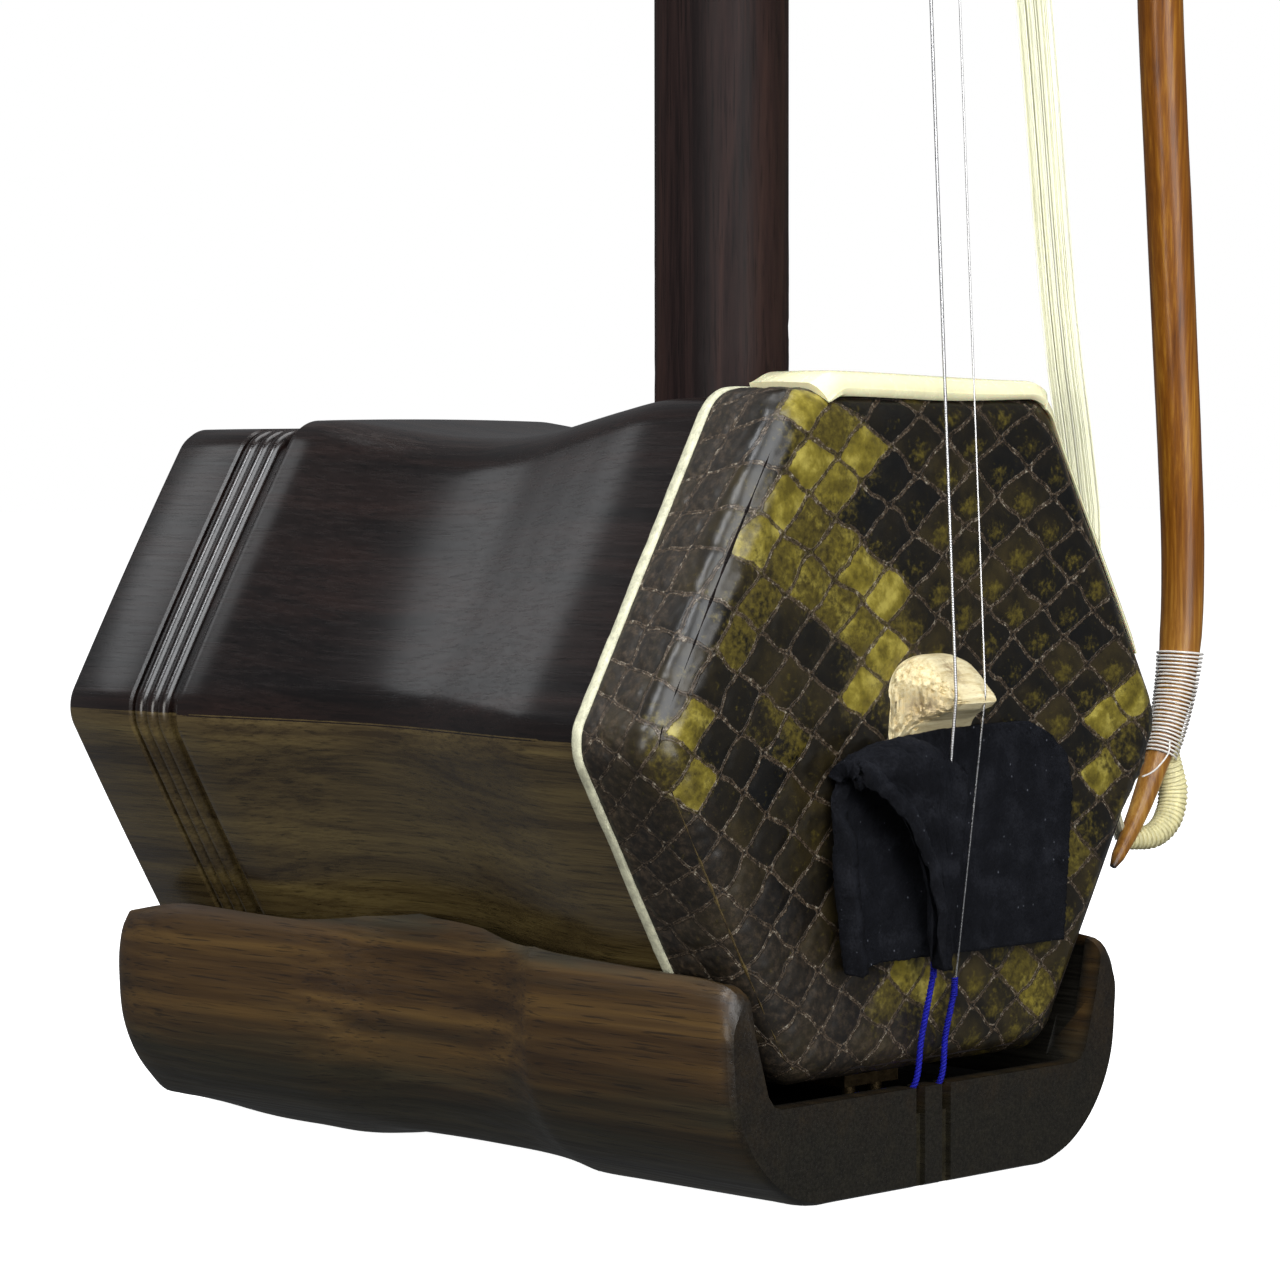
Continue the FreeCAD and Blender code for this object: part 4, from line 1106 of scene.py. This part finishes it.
def make_floor():
    mesh = bpy.data.meshes.new("floor")
    wide = 6.0
    mesh.from_pydata([(-wide, -wide, 0), (wide, -wide, 0), (wide, wide, 0), (-wide, wide, 0)],
                     [], [(0, 1, 2, 3)])
    look = Look("floor_finish")
    tint = look.ramp(look.noise(60.0, 2.0), (0.3, (0.86, 0.86, 0.86)),
                     (0.7, (0.9, 0.9, 0.9)))
    mesh.materials.append(look.finish(Base_Color=tint, Roughness=0.9, Emission_Strength=0.97,
                                      Emission_Color=(1.0, 1.0, 1.0, 1.0)))
    floor = bpy.data.objects.new("floor", mesh)
    bpy.context.scene.collection.objects.link(floor)
    floor.visible_diffuse = floor.visible_glossy = False


def make_world():
    """White behind the object, and a dim cool light from all round."""
    world = bpy.data.worlds.new("studio")
    bpy.context.scene.world = world
    world.use_nodes = True
    tree = world.node_tree
    tree.nodes.clear()
    seen = tree.nodes.new("ShaderNodeLightPath").outputs["Is Camera Ray"]
    shown, ambient = (tree.nodes.new("ShaderNodeBackground") for _ in range(2))
    shown.inputs["Strength"].default_value = 1.0
    shown.inputs["Color"].default_value = (1, 1, 1, 1)
    ambient.inputs["Color"].default_value = (0.93, 0.96, 1.0, 1)
    ambient.inputs["Strength"].default_value = 0.13
    pick = tree.nodes.new("ShaderNodeMixShader")
    tree.links.new(seen, pick.inputs[0])
    tree.links.new(ambient.outputs[0], pick.inputs[1])
    tree.links.new(shown.outputs[0], pick.inputs[2])
    out = tree.nodes.new("ShaderNodeOutputWorld")
    tree.links.new(pick.outputs[0], out.inputs["Surface"])


def make_lights():
    """Square lamps round the resonator: name, place in metres from it, size, watts, colour."""
    target = ORIGIN + np.array([0, 0.03, 0.0])
    for name, offset, size, power, colour in (
            ("key", (-0.72, -0.78, 0.9), 0.95, 19, (0.95, 0.975, 1.0)),
            ("fill", (-0.25, -1.35, 0.25), 0.8, 12, (1.0, 0.99, 0.97)),
            ("back", (-0.74, 0.16, 0.86), 0.26, 4.0, (0.95, 0.97, 1.0)),
            ("far", (-0.33, 1.12, 0.66), 0.35, 0.42, (0.96, 0.98, 1.0)),
            ("low", (-1.2, -0.15, 0.12), 0.5, 5, (1.0, 0.98, 0.94)),
            ("top", (0.1, 0.25, 1.3), 0.8, 7, (1.0, 1.0, 1.0))):
        data = bpy.data.lights.new(name, "AREA")
        data.shape, data.size, data.energy, data.color = "SQUARE", size, power, colour
        lamp = bpy.data.objects.new(name, data)
        bpy.context.scene.collection.objects.link(lamp)
        place = Vector(target + np.array(offset))
        aim = (Vector(target) - place).to_track_quat("-Z", "Y").to_matrix().to_4x4()
        lamp.matrix_world = Matrix.Translation(place) @ aim


def make_camera():
    scene = bpy.context.scene
    scene.view_settings.view_transform = "Standard"
    data = bpy.data.cameras.new("camera")
    data.sensor_width, data.lens = 36.0, 118.16
    data.clip_start, data.clip_end = 0.01, 50.0
    camera = bpy.data.objects.new("camera", data)
    scene.collection.objects.link(camera)
    yaw, pitch, roll = 0.7895, -0.0429, -0.0011
    forward = Vector((math.sin(yaw) * math.cos(pitch), math.cos(yaw) * math.cos(pitch),
                      math.sin(pitch)))
    turn = forward.to_track_quat("-Z", "Y").to_matrix().to_4x4()
    spot = Vector(ORIGIN + np.array([-428.3, -370.3, 36.4]) * MM)
    camera.matrix_world = Matrix.Translation(spot) @ turn @ Matrix.Rotation(roll, 4, "Z")
    scene.camera = camera


make_staves()
make_skin()
make_strip()
make_guard()
make_bridge()
make_felt()
make_base()
make_stick()
make_hair()
make_tip()
make_tails()
make_qianjin()
make_windings()
paint(WOOD_NECK, "neck", "outer_peg", "inner_peg")
paint(IVORY, "head_inlay", "outer_peg_collar", "inner_peg_collar", "outer_peg_cap",
      "inner_peg_cap")
paint(WOOD_TOP, "rear_lattice")
# The string hook gets the very dark brass: painted shade for the gap it sits in.
paint(SHADED_BRASS, "string_hook")
paint(BRASS, "base_washer", "base_screw", "frog_nut", "bow_screw",
      "screw_button", "stick_ferrule")
paint(STEEL, "outer_string", "frog_ferrule")
paint(WOUND, "inner_string")
paint(EBONY, "bow_frog")
make_floor()
make_world()
make_lights()
make_camera()
